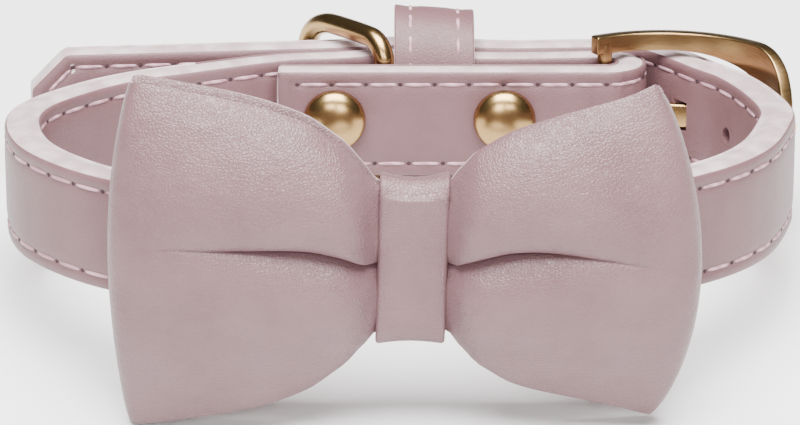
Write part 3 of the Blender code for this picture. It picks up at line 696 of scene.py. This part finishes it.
# %% [markdown]
# ### Stitches
# Each stitch is a short round of thread whose ends dive into the leather. One is modelled: a thin cylinder,
# cut across five times, with its ends narrowed and pushed in. An Array modifier repeats it along the row at
# the strap's pitch. The dark needle holes between the stitches are small hollows, and a flat dark bead shows
# each one's shadow.

# %% One stitch and the painted shadow of one needle hole
THREAD_DIA = 0.50
STITCH_SPAN = 0.92
HOLE_SHADOW = 0.36
# From the middle of a stitch outwards: share of the half length, narrowing, and drop in millimetres
STITCH_BENDS = ((0.5, 1.0, 0.0), (0.8, 0.94, 0.06), (9.9, 0.72, 0.34))
STITCH_FLAT = 0.85
SHADOW_FLAT = 0.45


def one_stitch(length):
    """A stitch along X, its ends bent down to -Y."""
    bpy.ops.object.select_all(action="DESELECT")
    bpy.ops.mesh.primitive_cylinder_add(
        vertices=8, radius=THREAD_DIA / 2 * MM, depth=length * MM, rotation=(0.0, math.pi / 2, 0.0))
    stitch = bpy.context.object
    settle(stitch)
    bpy.ops.object.mode_set(mode="EDIT")
    pick("EDGE", lambda edge: edge.calc_length() > 0.9 * length * MM)
    bpy.ops.mesh.subdivide(number_cuts=5)
    bpy.ops.object.mode_set(mode="OBJECT")
    half = length / 2 * MM
    for vertex in stitch.data.vertices:
        share = abs(vertex.co.x) / half
        narrow, drop = next(bend[1:] for bend in STITCH_BENDS if share < bend[0])
        vertex.co.y = vertex.co.y * narrow * STITCH_FLAT - drop * MM
        vertex.co.z *= narrow
    stitch.data.materials.append(THREAD)
    only(stitch)
    bpy.ops.object.shade_smooth()
    return stitch


def one_shadow():
    """A flat dark bead: the painted shadow inside a needle hole."""
    bpy.ops.object.select_all(action="DESELECT")
    bpy.ops.mesh.primitive_uv_sphere_add(segments=8, ring_count=5, radius=HOLE_SHADOW * MM)
    bead = bpy.context.object
    bead.scale = (1.0, SHADOW_FLAT, 1.0)
    settle(bead)
    bead.data.materials.append(PAINTED_HOLE_SHADOW)
    bpy.ops.object.shade_smooth()
    return bead


def row_of(piece, count, pitch, start, y, z, turn=0.0):
    """Rolls a piece onto its face, moves it to its row's start, and repeats it along X."""
    piece.rotation_euler = (turn, 0.0, 0.0)
    piece.location = (start * MM, y * MM, z * MM)
    settle(piece)
    apply_modifier(
        piece, "ARRAY", count=count, use_relative_offset=False, use_constant_offset=True,
        constant_offset_displace=(pitch * MM, 0.0, 0.0))
    return piece


def slanted(piece, y, turn, tilt, x, z):
    """Rolls a stitch onto its face, tilts it in that face, and moves it to its place at the tip."""
    piece.rotation_euler = (turn, 0.0, 0.0)
    piece.location = (0.0, y * MM, 0.0)
    settle(piece)
    piece.rotation_euler = (0.0, tilt, 0.0)
    piece.location = (x * MM, 0.0, z * MM)
    settle(piece)
    return piece


def joined(pieces, name):
    """Joins several objects into the first."""
    bpy.ops.object.select_all(action="DESELECT")
    for piece in pieces:
        piece.select_set(True)
    bpy.context.view_layer.objects.active = pieces[0]
    bpy.ops.object.join()
    pieces[0].name = name
    return pieces[0]


# %% Rows on both faces, and round the tip
THREAD_Y = GROOVE_HALF + 0.05
SHADOW_Y = GROOVE_HALF - 0.06

tip_end = STRAP_LENGTH - STITCH_INSET
cross = TIP_BLUNT - STITCH_INSET * (math.sqrt(2.0) - 1.0)
stitch_rows = []
shadow_rows = []
for side, turn in ((1, 0.0), (-1, math.pi)):
    thread_y = side * THREAD_Y
    for row in (1, -1):
        start = FIRST_HOLE + ROW_SHIFT[row] * CUT_STEP
        count = STITCHES - ROW_SHIFT[row]
        stitch_rows.append(row_of(
            one_stitch(STITCH_PITCH * STITCH_SPAN), count, STITCH_PITCH, start + STITCH_PITCH / 2, thread_y,
            row * stitch_z, turn))
        shadow_rows.append(row_of(
            one_shadow(), count + 1, STITCH_PITCH, start, side * SHADOW_Y, row * stitch_z, turn))
    for row in (1, -1):
        stitch_rows.append(slanted(
            one_stitch(STITCH_SPAN * math.sqrt(2.0) * (stitch_z - cross)), thread_y, turn, row * math.pi / 4,
            tip_end - (stitch_z - cross) / 2, row * (stitch_z + cross) / 2))
    stitch_rows.append(slanted(one_stitch(1.8 * cross), thread_y, turn, math.pi / 2, tip_end, 0.0))
stitches = joined(stitch_rows, "strap_stitches")
shadows = joined(shadow_rows, "strap_needle_hole_shadows")
for piece in (stitches, shadows):
    for vertex in piece.data.vertices:
        side = math.copysign(1.0, vertex.co.y)
        thinner = (1.0 - thickness_share(vertex.co.x / MM)) * GROOVE_HALF * MM
        vertex.co.y -= side * thinner
print("stitches:", len(stitches.data.polygons), "faces; needle holes:", len(shadows.data.polygons), "faces")

# %% [markdown]
# ### The bend
# Now the Curve modifier lays strap, stitches and holes along the line. Then two cuts are made that follow
# the bent shape: the slanting hole that the prong passes through, and the slot in the fold where the prong's
# eye sits.

# %% Bend all along the line
bend_along(strap_line, strap, stitches, shadows)
low = [min(v.co[i] for v in strap.data.vertices) / MM for i in range(3)]
high = [max(v.co[i] for v in strap.data.vertices) / MM for i in range(3)]
print("bent strap:", [round(v, 2) for v in low], [round(v, 2) for v in high])

# %% The prong's hole, the fold's slot, and the strap's place
BAR = Vector((27.4, 33.1, 0.0))
PRONG_TIP = Vector((51.63, 25.79, 0.0))
PRONG_HOOK = Vector((48.03, 31.2, 0.0))
PRONG_HEIGHT = 3.2
PRONG_THICK = 1.2
HOLE_ROOM = 0.45
SLOT_ROOM = 0.675
SLOT_FROM = (24.6, 25.4)
SLOT_TO = (33.25, 39.0)
PRONG_ENTERS = 0.20
PRONG_LEAVES = 0.56


def prong_point(share):
    """A point on the prong's line from the bar to its tip."""
    return BAR * (1 - share) ** 2 + PRONG_HOOK * 2 * share * (1 - share) + PRONG_TIP * share**2


enter, leave = prong_point(PRONG_ENTERS), prong_point(PRONG_LEAVES)
run = leave - enter
tool = block(
    (-run.length / 2, -PRONG_THICK / 2 - HOLE_ROOM, -PRONG_HEIGHT / 2 - HOLE_ROOM),
    (run.length / 2, PRONG_THICK / 2 + HOLE_ROOM, PRONG_HEIGHT / 2 + HOLE_ROOM))
tool.location = (enter + leave) / 2 * MM
tool.rotation_euler = (0.0, 0.0, math.atan2(run.y, run.x))
tool.data.materials.append(STRAP_LEATHER)
cut_away(strap, tool)
slot = block((*SLOT_FROM, -PRONG_HEIGHT / 2 - SLOT_ROOM), (*SLOT_TO, PRONG_HEIGHT / 2 + SLOT_ROOM))
slot.data.materials.append(STRAP_LEATHER)
cut_away(strap, slot)
smooth(strap, 45.0)
seat(strap, "strap_leather_body", "collar", "strap_leather", "strap")
seat(stitches, "strap_stitches", "collar", "strap_leather")
seat(shadows, "strap_needle_hole_shadows", "collar", "strap_leather")

# %% [markdown]
# ## Buckle frame
# The frame is stamped from strip and bent: a horseshoe of flat rail, rounded at its end, and curved so that
# it lies round the neck. As with the strap, it is made flat first. A plate gets its two corners bevelled,
# and a second plate with rounder corners is cut out of it, so that the rail widens round its corners and
# the heel stays open. Bevelled edges give the bright lines that the light draws along a real rail.

# %% Flat frame
FRAME_MIDDLE = Vector((34.958, 18.493, 0.0))
FRAME_RADIUS = 16.446
FRAME_FIRST = 2.04827
FRAME_LENGTH = 26.9
FRAME_THICK = 1.7
FRAME_RAIL = 2.5
FRAME_HALF = 10.8
FRAME_CORNER = 8.0
FRAME_HOLE_CORNER = 8.1
FRAME_REACH = 1.8
FRAME_HEEL = 1.7
FRAME_POINT = 1.2
FRAME_CUT = 0.7
FRAME_CUTS = 44

frame_end = FRAME_LENGTH + FRAME_RAIL / 2 + FRAME_REACH


def round_end(piece, end, radius, segments):
    """Rounds the two upright corners at a block's far end."""
    only(piece)
    bpy.ops.object.mode_set(mode="EDIT")
    pick("EDGE", lambda edge: all(abs(v.co.x - end * MM) < 1e-6 for v in edge.verts)
         and abs(edge.verts[0].co.z - edge.verts[1].co.z) < 1e-6)
    bpy.ops.mesh.bevel(offset=radius * MM, segments=segments)
    bpy.ops.object.mode_set(mode="OBJECT")


buckle = block((-FRAME_HEEL, -FRAME_THICK / 2, -FRAME_HALF), (frame_end, FRAME_THICK / 2, FRAME_HALF))
round_end(buckle, frame_end, FRAME_CORNER, 14)
hole_end = frame_end - FRAME_RAIL
hole_half = FRAME_HALF - FRAME_RAIL
opening = block((-2 * FRAME_HEEL, -FRAME_THICK, -hole_half), (hole_end, FRAME_THICK, hole_half))
round_end(opening, hole_end, FRAME_HOLE_CORNER, 14)
# The opening's round end is drawn out, so that it narrows more gently than a circle
for vertex in opening.data.vertices:
    before_end = hole_end * MM - vertex.co.x
    if before_end < (FRAME_HOLE_CORNER + 0.1) * MM:
        vertex.co.x -= FRAME_POINT * before_end
cut_away(buckle, opening)
cut_across(buckle, 0, [FRAME_CUT * i - 1.0 for i in range(FRAME_CUTS)])
soften(buckle, 0.42, 4)
print("flat frame:", len(buckle.data.polygons), "faces")

# %% Bend the frame, add its bar
BAR_RADIUS = 1.0
ARC_STEP = 2.8
ARC_LEAD = 3


def on_circle(middle, radius, turn):
    """The point, across and back, of a circle about this middle at this turn."""
    return middle.x + radius * math.cos(turn), middle.y + radius * math.sin(turn)


arc = []
for i in range(-ARC_LEAD, 13):
    arc.append(on_circle(FRAME_MIDDLE, FRAME_RADIUS, FRAME_FIRST - i * ARC_STEP / FRAME_RADIUS))
buckle.location.x = ARC_LEAD * ARC_STEP * MM
settle(buckle)
bend_along(line_through("frame_line", arc), buckle)
bpy.ops.object.select_all(action="DESELECT")
bpy.ops.mesh.primitive_cylinder_add(
    vertices=32, radius=BAR_RADIUS * MM, depth=2 * (FRAME_HALF - FRAME_RAIL / 2) * MM, location=BAR * MM)
bar = bpy.context.object
apply_modifier(buckle, "BOOLEAN", object=bar, operation="UNION", solver="EXACT")
bpy.data.objects.remove(bar, do_unlink=True)
buckle.data.materials.clear()
buckle.data.materials.append(BRUSHED_GOLD)
smooth(buckle, 35.0)
seat(buckle, "buckle_frame_brushed", "collar", "satin_gold", "buckle_frame")

# %% [markdown]
# ## Prong
# The prong is a flat tongue whose end is rolled into an open eye round the bar. It starts as a straight
# strip with a rounded tip, and is bent along a line of its own: most of a turn round the bar, then out
# through the strap and over the frame's end.

# %% Prong
EYE_RADIUS = 1.75
EYE_NECK = 1.4
PRONG_OVER = 0.9
PRONG_CUT = 0.5

prong_route = [on_circle(BAR, EYE_RADIUS, math.radians(degrees)) for degrees in range(54, 345, 29)]
for i in range(1, 13):
    spot = prong_point(i / 12)
    if (spot - BAR).length > EYE_RADIUS + EYE_NECK:
        prong_route.append((spot.x, spot.y))
prong_line = line_through("prong_line", prong_route)
prong_length = prong_line.data.splines[0].calc_length() / MM
prong = block(
    (0.0, -PRONG_THICK / 2, -PRONG_HEIGHT / 2),
    (prong_length + PRONG_OVER, PRONG_THICK / 2, PRONG_HEIGHT / 2))
round_end(prong, prong_length + PRONG_OVER, 1.1, 5)
cut_across(prong, 0, [PRONG_CUT * i for i in range(1, int(prong_length / PRONG_CUT))])
soften(prong, 0.30, 3)
bend_along(prong_line, prong)
prong.data.materials.append(SMOOTH_GOLD)
smooth(prong, 35.0)
seat(prong, "prong_gold", "collar", "satin_gold", "prong")

# %% [markdown]
# ## D-ring
# The ring is bent from round wire: a straight side that lies between the two layers of leather, and a
# rounded loop for a tag or a lead. A curve with a round bevel is wire by nature, so the ring is drawn as a
# closed curve in its own plane and turned to a mesh at the end.

# %% D-ring
def merge(piece, reach):
    """Merges vertices that lie closer than this, in millimetres, and turns the faces outwards."""
    only(piece)
    bpy.ops.object.mode_set(mode="EDIT")
    bpy.ops.mesh.select_all(action="SELECT")
    bpy.ops.mesh.remove_doubles(threshold=reach * MM)
    bpy.ops.mesh.normals_make_consistent(inside=False)
    bpy.ops.object.mode_set(mode="OBJECT")


RING_WIRE = 2.8
RING_HALF = 9.4
RING_CORNER = 3.2
RING_STRAIGHT = 7.0
RING_REACH = 17.6
RING_SQUARE = 3.4
RING_SWING = 38.0
RING_RAISE = 0.35

ring_upper = [(0.0, (RING_HALF - RING_CORNER) * share) for share in (0.5, 1.0)]
for degrees in (157.5, 135.0, 112.5, 90.0):
    turn = math.radians(degrees)
    ring_upper.append((RING_CORNER * (1 + math.cos(turn)), RING_HALF - RING_CORNER * (1 - math.sin(turn))))
for degrees in (90, 76, 64, 52, 40, 28, 16, 7):
    turn = math.radians(degrees)
    reach = RING_STRAIGHT + (RING_REACH - RING_STRAIGHT) * max(0.0, math.cos(turn)) ** (2 / RING_SQUARE)
    ring_upper.append((reach, RING_HALF * math.sin(turn) ** (2 / RING_SQUARE)))
ring_route = [(0.0, 0.0), *ring_upper, (RING_REACH, 0.0)] + [(x, -y) for x, y in reversed(ring_upper)]
ring = line_through("ring_wire", ring_route, closed=True)
ring.data.dimensions = "3D"
ring.data.fill_mode = "FULL"
ring.data.bevel_depth = RING_WIRE / 2 * MM
ring.data.bevel_resolution = 7
ring.data.resolution_u = 8
only(ring)
bpy.ops.object.convert(target="MESH")
ring = bpy.context.object
swing = math.radians(90.0 + RING_SWING)
away = Vector((math.cos(swing), math.sin(swing), 0.0))
upright = Vector((0.0, 0.0, 1.0))
ring_place = Matrix((away, upright, away.cross(upright))).transposed().to_4x4()
ring_place.translation = RING_HINGE + RING_RAISE * MM * upright
ring.matrix_world = ring_place
settle(ring)
merge(ring, 0.01)
ring.data.materials.clear()
ring.data.materials.append(SMOOTH_GOLD)
bpy.ops.object.shade_smooth()
seat(ring, "d_ring_wire", "ring", "satin_gold", "d_ring")

# %% [markdown]
# ## Rivets
# Each rivet has a low polished dome on the pet's side, a shank through both layers, and a disc on the far
# side. A turned part like this is drawn as half a profile and spun round its axis.

# %% Rivets
RIVET_X = (-8.7, 13.9)
RIVET_OUTSIDE = (36.108 + FOLD_THICK / 2, 35.9 + FOLD_THICK / 2)
RIVET_Z = 0.8
RIVET_RADIUS = 4.15
RIVET_DOME = 2.0
RIVET_LIP = 0.5
RIVET_FACE = 27.1
RIVET_SINK = 1.6
RIVET_SHANK = 1.5
RIVET_DISC = 3.0
RIVET_DISC_THICK = 0.8
RIVET_EDGE = 0.15
SPIN_STEPS = 64
DOME_STEPS = 12


def rivet(place_x, outside):
    """A rivet's half profile, from the dome's tip to the far disc's middle, spun about its axis along Y."""
    disc = outside - RIVET_SINK
    back = disc + RIVET_DISC_THICK
    profile = []
    for i in range(DOME_STEPS + 1):
        turn = math.radians(90.0 * i / DOME_STEPS)
        profile.append((RIVET_RADIUS * math.sin(turn), RIVET_FACE - RIVET_LIP - RIVET_DOME * math.cos(turn)))
    profile += [
        (RIVET_RADIUS, RIVET_FACE - RIVET_EDGE), (RIVET_RADIUS - RIVET_EDGE, RIVET_FACE),
        (RIVET_SHANK, RIVET_FACE), (RIVET_SHANK, disc), (RIVET_DISC - RIVET_EDGE, disc),
        (RIVET_DISC, disc + RIVET_EDGE), (RIVET_DISC, back - 0.2), (RIVET_DISC - 0.2, back), (0.0, back),
    ]
    bpy.ops.object.select_all(action="DESELECT")
    bpy.ops.mesh.primitive_plane_add(size=MM)
    made = bpy.context.object
    bpy.ops.object.mode_set(mode="EDIT")
    bpy.ops.mesh.select_all(action="SELECT")
    bpy.ops.mesh.delete(type="VERT")
    shape = bmesh.from_edit_mesh(made.data)
    spots = [shape.verts.new(Vector((place_x + r, y, RIVET_Z)) * MM) for r, y in profile]
    for a, b in zip(spots, spots[1:]):
        shape.edges.new((a, b))
    bmesh.update_edit_mesh(made.data)
    bpy.ops.mesh.select_all(action="SELECT")
    bpy.ops.mesh.spin(
        steps=SPIN_STEPS, angle=2 * math.pi, center=(place_x * MM, 0.0, RIVET_Z * MM), axis=(0.0, 1.0, 0.0))
    bpy.ops.object.mode_set(mode="OBJECT")
    merge(made, 0.005)
    made.data.materials.append(SMOOTH_GOLD)
    smooth(made, 50.0)
    return made


for name, place_x, outside in zip(("rivet_left", "rivet_right"), RIVET_X, RIVET_OUTSIDE):
    seat(rivet(place_x, outside), name + "_polished", "collar", "satin_gold", name)

# %% [markdown]
# ## Keeper and knot: two closed bands
# The keeper is a stitched loop that holds the tail down, and the knot is the plain band that gathers the
# bow. Both are bands bent to a closed loop. A ring could be cut from a cylinder, but then its stitches would
# have to be set round the bend one by one. So a straight band is made first, sewn, bent along a closed line,
# and merged where its ends meet, on the side that nobody sees.

# %% A band and its loop
BAND_CUTS = (-0.3, -0.15, 0.0, 0.15, 0.3)


def band(length, thick, width, edge, step):
    """A straight band along X with rounded edges and open ends, cut across so that it can bend."""
    made = block((0.0, -thick / 2, -width / 2), (length, thick / 2, width / 2))
    cut_across(made, 0, [step * i for i in range(1, int(length / step))])
    cut_across(made, 2, [width * share for share in BAND_CUTS])
    bpy.ops.object.mode_set(mode="EDIT")
    pick("FACE", lambda face: abs(face.normal.x) > 0.9)
    bpy.ops.mesh.delete(type="FACE")
    bpy.ops.object.mode_set(mode="OBJECT")
    soften(made, edge, 4)
    return made


def stand_loop(piece, place_x):
    """Turns a piece bent on the bench so that its loop stands across the collar, and closes its ends."""
    stand = Matrix(((0.0, 0.0, 1.0), (1.0, 0.0, 0.0), (0.0, 1.0, 0.0))).to_4x4()
    piece.matrix_world = Matrix.Translation((place_x * MM, 0.0, 0.0)) @ stand
    settle(piece)
    merge(piece, 0.04)


# %% Keeper
KEEPER_X = 4.6
KEEPER_WIDTH = 10.8
KEEPER_LEATHER = 1.3
KEEPER_NEAR = 32.75
KEEPER_FAR = 46.25
KEEPER_PITCH = 3.3
KEEPER_STITCH = 2.5
KEEPER_ROW = 3.2
KEEPER_START = 1.0
# How the top lies over the strap: where it starts, how high it stands, its slant and its dip at the stitches
CROWN_FROM = 4.0
CROWN_RUN = 7.4
CROWN_LIFT = 0.50
CROWN_SLANT = 0.065
ROW_DIP = 0.16
ROW_SPREAD = 0.8
FOOT_FROM = -9.0
FOOT_LIFT = 0.30
# Each arch: side, height of its crown, height where it springs, squareness
KEEPER_ARCHES = ((1, 11.45, 4.1, 2.0), (-1, 9.95, 5.3, 5.0))

keeper_middle = (KEEPER_NEAR + KEEPER_FAR) / 2
keeper_half = (KEEPER_FAR - KEEPER_NEAR) / 2
keeper_route = []
for side, crown, spring, square in KEEPER_ARCHES:
    for degrees in range(0, 181, 12):
        turn = math.radians(degrees)
        across = -side * math.copysign(abs(math.cos(turn)) ** (2 / square), math.cos(turn))
        lift = math.sin(turn) ** (2 / square) if 0 < degrees < 180 else 0.0
        height = side * (spring + (crown - spring) * lift)
        keeper_route.append((keeper_middle + keeper_half * across, height))
keeper_line = line_through("keeper_line", keeper_route, closed=True)
keeper_length = keeper_line.data.splines[0].calc_length() / MM
keeper = band(keeper_length, KEEPER_LEATHER, KEEPER_WIDTH, 0.32, 0.8)
keeper.data.materials.append(STRAP_LEATHER)
keeper.data.materials.append(EDGE_PAINT_AND_HIGHLIGHT)
# The keeper's edges take the same pale edge paint, partly painted highlight.
for face in keeper.data.polygons:
    face.material_index = 1 if abs(face.normal.y) < 0.8 else 0
keeper_rows = []
for row in (-1, 1):
    keeper_rows.append(row_of(
        one_stitch(KEEPER_STITCH), int((keeper_length - KEEPER_START) / KEEPER_PITCH), KEEPER_PITCH,
        KEEPER_START, KEEPER_LEATHER / 2 + 0.02, row * KEEPER_ROW))
keeper_stitches = joined(keeper_rows, "keeper_stitches")
bend_along(keeper_line, keeper, keeper_stitches)
for piece in (keeper, keeper_stitches):
    stand_loop(piece, KEEPER_X)
    for vertex in piece.data.vertices:
        x, y, z = vertex.co / MM
        x -= KEEPER_X
        crown = max(0.0, (z - CROWN_FROM) / CROWN_RUN)
        dip = ROW_DIP * math.exp(-((abs(x) - KEEPER_ROW) / ROW_SPREAD) ** 2)
        vertex.co.z += crown * (CROWN_LIFT - CROWN_SLANT * x - dip) * MM
        if z < FOOT_FROM:
            vertex.co.z += FOOT_LIFT * MM * min(1.0, FOOT_FROM - z)
only(keeper)
bpy.ops.object.shade_smooth()
seat(keeper, "keeper_leather_loop", "collar", "strap_leather", "keeper")
seat(keeper_stitches, "keeper_stitches", "collar", "strap_leather")

# %% Knot
KNOT_X = 1.5
KNOT_WIDTH = 8.4
KNOT_LEATHER = 1.1
KNOT_NEAR = -23.65
KNOT_FAR = -27.65
KNOT_TOP = 10.35
KNOT_BEND = 1.8
KNOT_SAG = 0.8
KNOT_BELLY = 0.35
KNOT_SLANT = 0.03
KNOT_ENDS = 1.5

knot_route = []
for side_y, side_z, start in ((-1, 1, 180), (1, 1, 90), (1, -1, 0), (-1, -1, -90)):
    edge_y = KNOT_NEAR if side_y > 0 else KNOT_FAR
    for i in range(4):
        turn = math.radians(start - 30 * i)
        knot_route.append((
            edge_y - side_y * KNOT_BEND + KNOT_BEND * math.cos(turn),
            side_z * (KNOT_TOP - KNOT_BEND) + KNOT_BEND * math.sin(turn)))
    if side_y == side_z:
        for share in (0.8, 0.4, 0.0, -0.4, -0.8):
            knot_route.append((edge_y, side_z * share * (KNOT_TOP - KNOT_BEND)))
knot_line = line_through("knot_line", knot_route, closed=True)
knot_length = knot_line.data.splines[0].calc_length() / MM
knot = band(knot_length, KNOT_LEATHER, KNOT_WIDTH, 0.5, 0.5)
knot.data.materials.append(BOW_LEATHER)
bend_along(knot_line, knot)
stand_loop(knot, KNOT_X)
for vertex in knot.data.vertices:
    x, y, z = vertex.co / MM
    across = 1.0 - ((x - KNOT_X) / (KNOT_WIDTH / 2)) ** 2
    if z > KNOT_TOP - KNOT_ENDS:
        vertex.co.z -= KNOT_SAG * across * MM
    elif z < KNOT_ENDS - KNOT_TOP:
        vertex.co.z += KNOT_SAG / 2 * across * MM
    if y < (KNOT_NEAR + KNOT_FAR) / 2:
        vertex.co.y -= KNOT_BELLY * across * (1.0 - (z / KNOT_TOP) ** 2) * MM
    vertex.co.x += KNOT_SLANT * z * MM
only(knot)
bpy.ops.object.shade_smooth()
seat(knot, "knot_band", "collar", "bow_leather", "knot")

# %% [markdown]
# ## The bow
# The bow is one band of thin leather, sewn to a flat loop and gathered at its waist by the knot. Its
# fullness comes from that gather: the front rolls out above and below, a deep crease runs out from the knot
# between the two rolls, and the rims curl. A cloth simulation of the gather would give good folds, but not
# the folds of this bow. The loop is therefore a cylinder, squashed and gathered by tables of cross sections,
# creases and rims. Its leather is pared thin towards the rims, as a bag maker does it, by a vertex group
# that the Solidify modifier reads.

# %% The bow's cross sections
BOW_X = 0.9
BOW_WIDTH = 70.8
BOW_HEIGHT = 44.0
BOW_LEATHER_THICK = 1.0
BOW_WALL = 1.15
BOW_BACK_Y = -24.5
BOW_BULGE = 5.2
BOW_CURL = 2.6
BOW_GAP = 3.0
BOW_ROLL = 2.5
BOW_CREASE = 4.6
BOW_LAP = 1.9
BOW_CORNER = {-1: 0.065, 1: 0.145}
BOW_TUCK = 1.3
BOW_LEAN = 1.2
BOW_ROUNDING = 0.6
BOW_ROUND = 240
BOW_ROWS = 72
BOW_CROWD = 1.25
BOW_PARING = 0.55
UPPER_ROLL = 0.36
LOWER_ROLL = 0.52
FOLD_FROM = 0.12
FOLD_DEPTH = 0.12
FOLD_RUN = 0.08
FOLDS = 13.0

# Place along half the width; half height, bulge, spread of the layers, curl of the rims, depth of the crease
BOW_SECTIONS = (
    (0.000, 0.432, 0.00, 0.00, 0.00, 0.00),
    (0.115, 0.432, 0.00, 0.00, 0.00, 0.30),
    (0.160, 0.530, 0.50, 0.26, 0.00, 0.80),
    (0.220, 0.650, 0.76, 0.46, 0.04, 1.00),
    (0.340, 0.785, 0.86, 0.62, 0.20, 0.92),
    (0.480, 0.865, 1.00, 0.88, 0.45, 0.62),
    (0.620, 0.915, 0.95, 1.00, 0.68, 0.34),
    (0.770, 0.952, 0.78, 1.00, 0.85, 0.14),
    (0.900, 0.983, 0.58, 0.90, 0.96, 0.03),
    (1.000, 1.000, 0.42, 0.70, 1.00, 0.00),
)
# Place along half the width; height of the crease as a share of the half height there
CREASE_LEFT = (
    (0.000, -0.050), (0.115, -0.040), (0.160, 0.040), (0.220, 0.115), (0.310, 0.142), (0.440, 0.139),
    (0.680, 0.130), (1.000, 0.130),
)
CREASE_RIGHT = (
    (0.000, -0.060), (0.130, -0.015), (0.190, 0.088), (0.286, 0.127), (0.353, 0.133), (0.454, 0.126),
    (0.600, 0.090), (0.810, 0.030), (1.000, -0.020),
)
# Place along half the width; how far the upper and the lower rim lie above the sections' own, in millimetres
RIMS_LEFT = (
    (0.000, 0.00, 0.60), (0.115, 0.00, 0.80), (0.200, 0.00, 1.40), (0.500, 0.00, 0.60), (0.800, 0.00, 0.20),
    (1.000, 0.00, 0.15),
)
RIMS_RIGHT = (
    (0.000, 0.00, 0.60), (0.115, 0.00, 0.80), (0.200, -0.15, 1.30), (0.350, -0.90, 1.80),
    (0.550, -1.10, 2.10), (0.800, -0.70, 1.70), (1.000, 0.00, 1.30),
)


def eased(rows, place):
    """The values of a table at this place, eased through its rows without corners."""
    i = 0
    while i < len(rows) - 2 and place > rows[i + 1][0]:
        i += 1
    t = (place - rows[i][0]) / (rows[i + 1][0] - rows[i][0])
    around = (rows[max(i - 1, 0)], rows[i], rows[i + 1], rows[min(i + 2, len(rows) - 1)])
    out = []
    for a, b, c, d in list(zip(*around))[1:]:
        bend = 2 * a - 5 * b + 4 * c - d
        twist = 3 * b - a - 3 * c + d
        out.append(0.5 * (2 * b + (c - a) * t + bend * t * t + twist * t**3))
    return out


def valley(v):
    """The crease between two rolls, from 0 on their crowns to 1 on its floor."""
    near = max(0.0, 1.0 - abs(v) / (UPPER_ROLL if v > 0 else LOWER_ROLL))
    return near, 1.0 - math.sqrt(1.0 - near * near)


def gathers(share, v):
    """Small folds that fan out from the knot and soon fade."""
    reach = abs(share)
    if reach < FOLD_FROM:
        return 0.0
    fan = math.atan2(v * 0.62, reach - 0.02)
    fading = math.exp((FOLD_FROM - reach) / FOLD_RUN)
    return FOLD_DEPTH * fading * math.sin(fan * FOLDS + (0.9 if share < 0 else 2.4))


def bow_place(share, side, v):
    """A point of the band's outer face: share of half width, front (1) or back (-1), height from -1 to 1."""
    reach = abs(share)
    height, bulge, spread, curl, crease = eased(BOW_SECTIONS, reach)
    line = eased(CREASE_LEFT if share < 0 else CREASE_RIGHT, reach)[0]
    near, depth = valley(v)
    closing = math.sqrt(max(0.0, 1.0 - reach**40))
    end = 1.0 - BOW_CORNER[1 if share > 0 else -1] * v * v * reach**3
    x = KNOT_X + reach * (BOW_X - KNOT_X) + share * end * BOW_WIDTH / 2
    if share < 0:
        x -= BOW_LEAN * reach**3 * (1.0 - v) / 2
    z = (v + line * (1.0 - v * v)) * height * BOW_HEIGHT / 2
    belly = 1.0 - v * v
    centre = BOW_BACK_Y - BOW_WALL - bulge * BOW_BULGE * 0.5 * belly + curl * BOW_CURL * v * v
    gap = BOW_WALL + spread * BOW_GAP * (0.45 + 0.35 * belly)
    rims = RIMS_RIGHT if share > 0 else RIMS_LEFT
    z += eased(rims, reach)[0 if v > 0 else 1] * v**4
    if share > 0 and v > 0:
        tucked = min(1.0, reach / 0.3) if side < 0 else max(0.0, (reach - 0.93) / 0.07) ** 2
        z -= BOW_TUCK * v**6 * tucked
    z -= BOW_ROUNDING * max(0.0, (reach - 0.95) / 0.05) ** 2 * v**21
    if side < 0:
        return Vector((x, min(centre + gap * closing, BOW_BACK_Y + curl * BOW_CURL * v * v), z)) * MM
    lap = BOW_LAP * crease * 4.0 * near * (1.0 - near) if v > 0 else 0.0
    roll = crease * (BOW_CREASE * depth - BOW_ROLL * (1.0 - v**4))
    return Vector((x, centre - gap * closing + roll - gathers(share, v), z - lap)) * MM


# %% Loop, gather and wall
bpy.ops.object.select_all(action="DESELECT")
bpy.ops.mesh.primitive_cylinder_add(
    vertices=BOW_ROUND, radius=BOW_WIDTH / 2 * MM, depth=BOW_HEIGHT * MM, end_fill_type="NOTHING")
bow = bpy.context.object
bpy.ops.object.mode_set(mode="EDIT")
pick("EDGE", lambda edge: edge.calc_length() > 0.9 * BOW_HEIGHT * MM)
bpy.ops.mesh.subdivide(number_cuts=BOW_ROWS - 1)
bpy.ops.object.mode_set(mode="OBJECT")
pared = {}
for vertex in bow.data.vertices:
    around = math.atan2(vertex.co.y, vertex.co.x)
    v = vertex.co.z / (BOW_HEIGHT / 2 * MM)
    v = math.copysign(abs(v) ** BOW_CROWD, v)
    pared[vertex.index] = 1.0 - BOW_PARING * abs(v) ** 10
    vertex.co = bow_place(math.cos(around), 1 if around <= 0 else -1, v)
bpy.ops.object.mode_set(mode="EDIT")
bpy.ops.mesh.select_all(action="SELECT")
bpy.ops.mesh.normals_make_consistent(inside=False)
bpy.ops.object.mode_set(mode="OBJECT")
bow.data.materials.append(BOW_LEATHER)
# The rims and their rounded edges take the cut-edge colour, whose paleness is partly painted highlight.
bow.data.materials.append(CUT_EDGE_AND_HIGHLIGHT)
wall = bow.vertex_groups.new(name="wall")
for vertex in bow.data.vertices:
    wall.add([vertex.index], pared[vertex.index], "REPLACE")
apply_modifier(
    bow, "SOLIDIFY", thickness=BOW_LEATHER_THICK * MM, offset=-1.0, use_even_offset=False,
    material_offset_rim=1, vertex_group="wall")
soften(bow, 0.14, 2, degrees=60.0, material=1)
smooth(bow, 50.0)
seat(bow, "bow_gathered", "collar", "bow_leather", "bow")
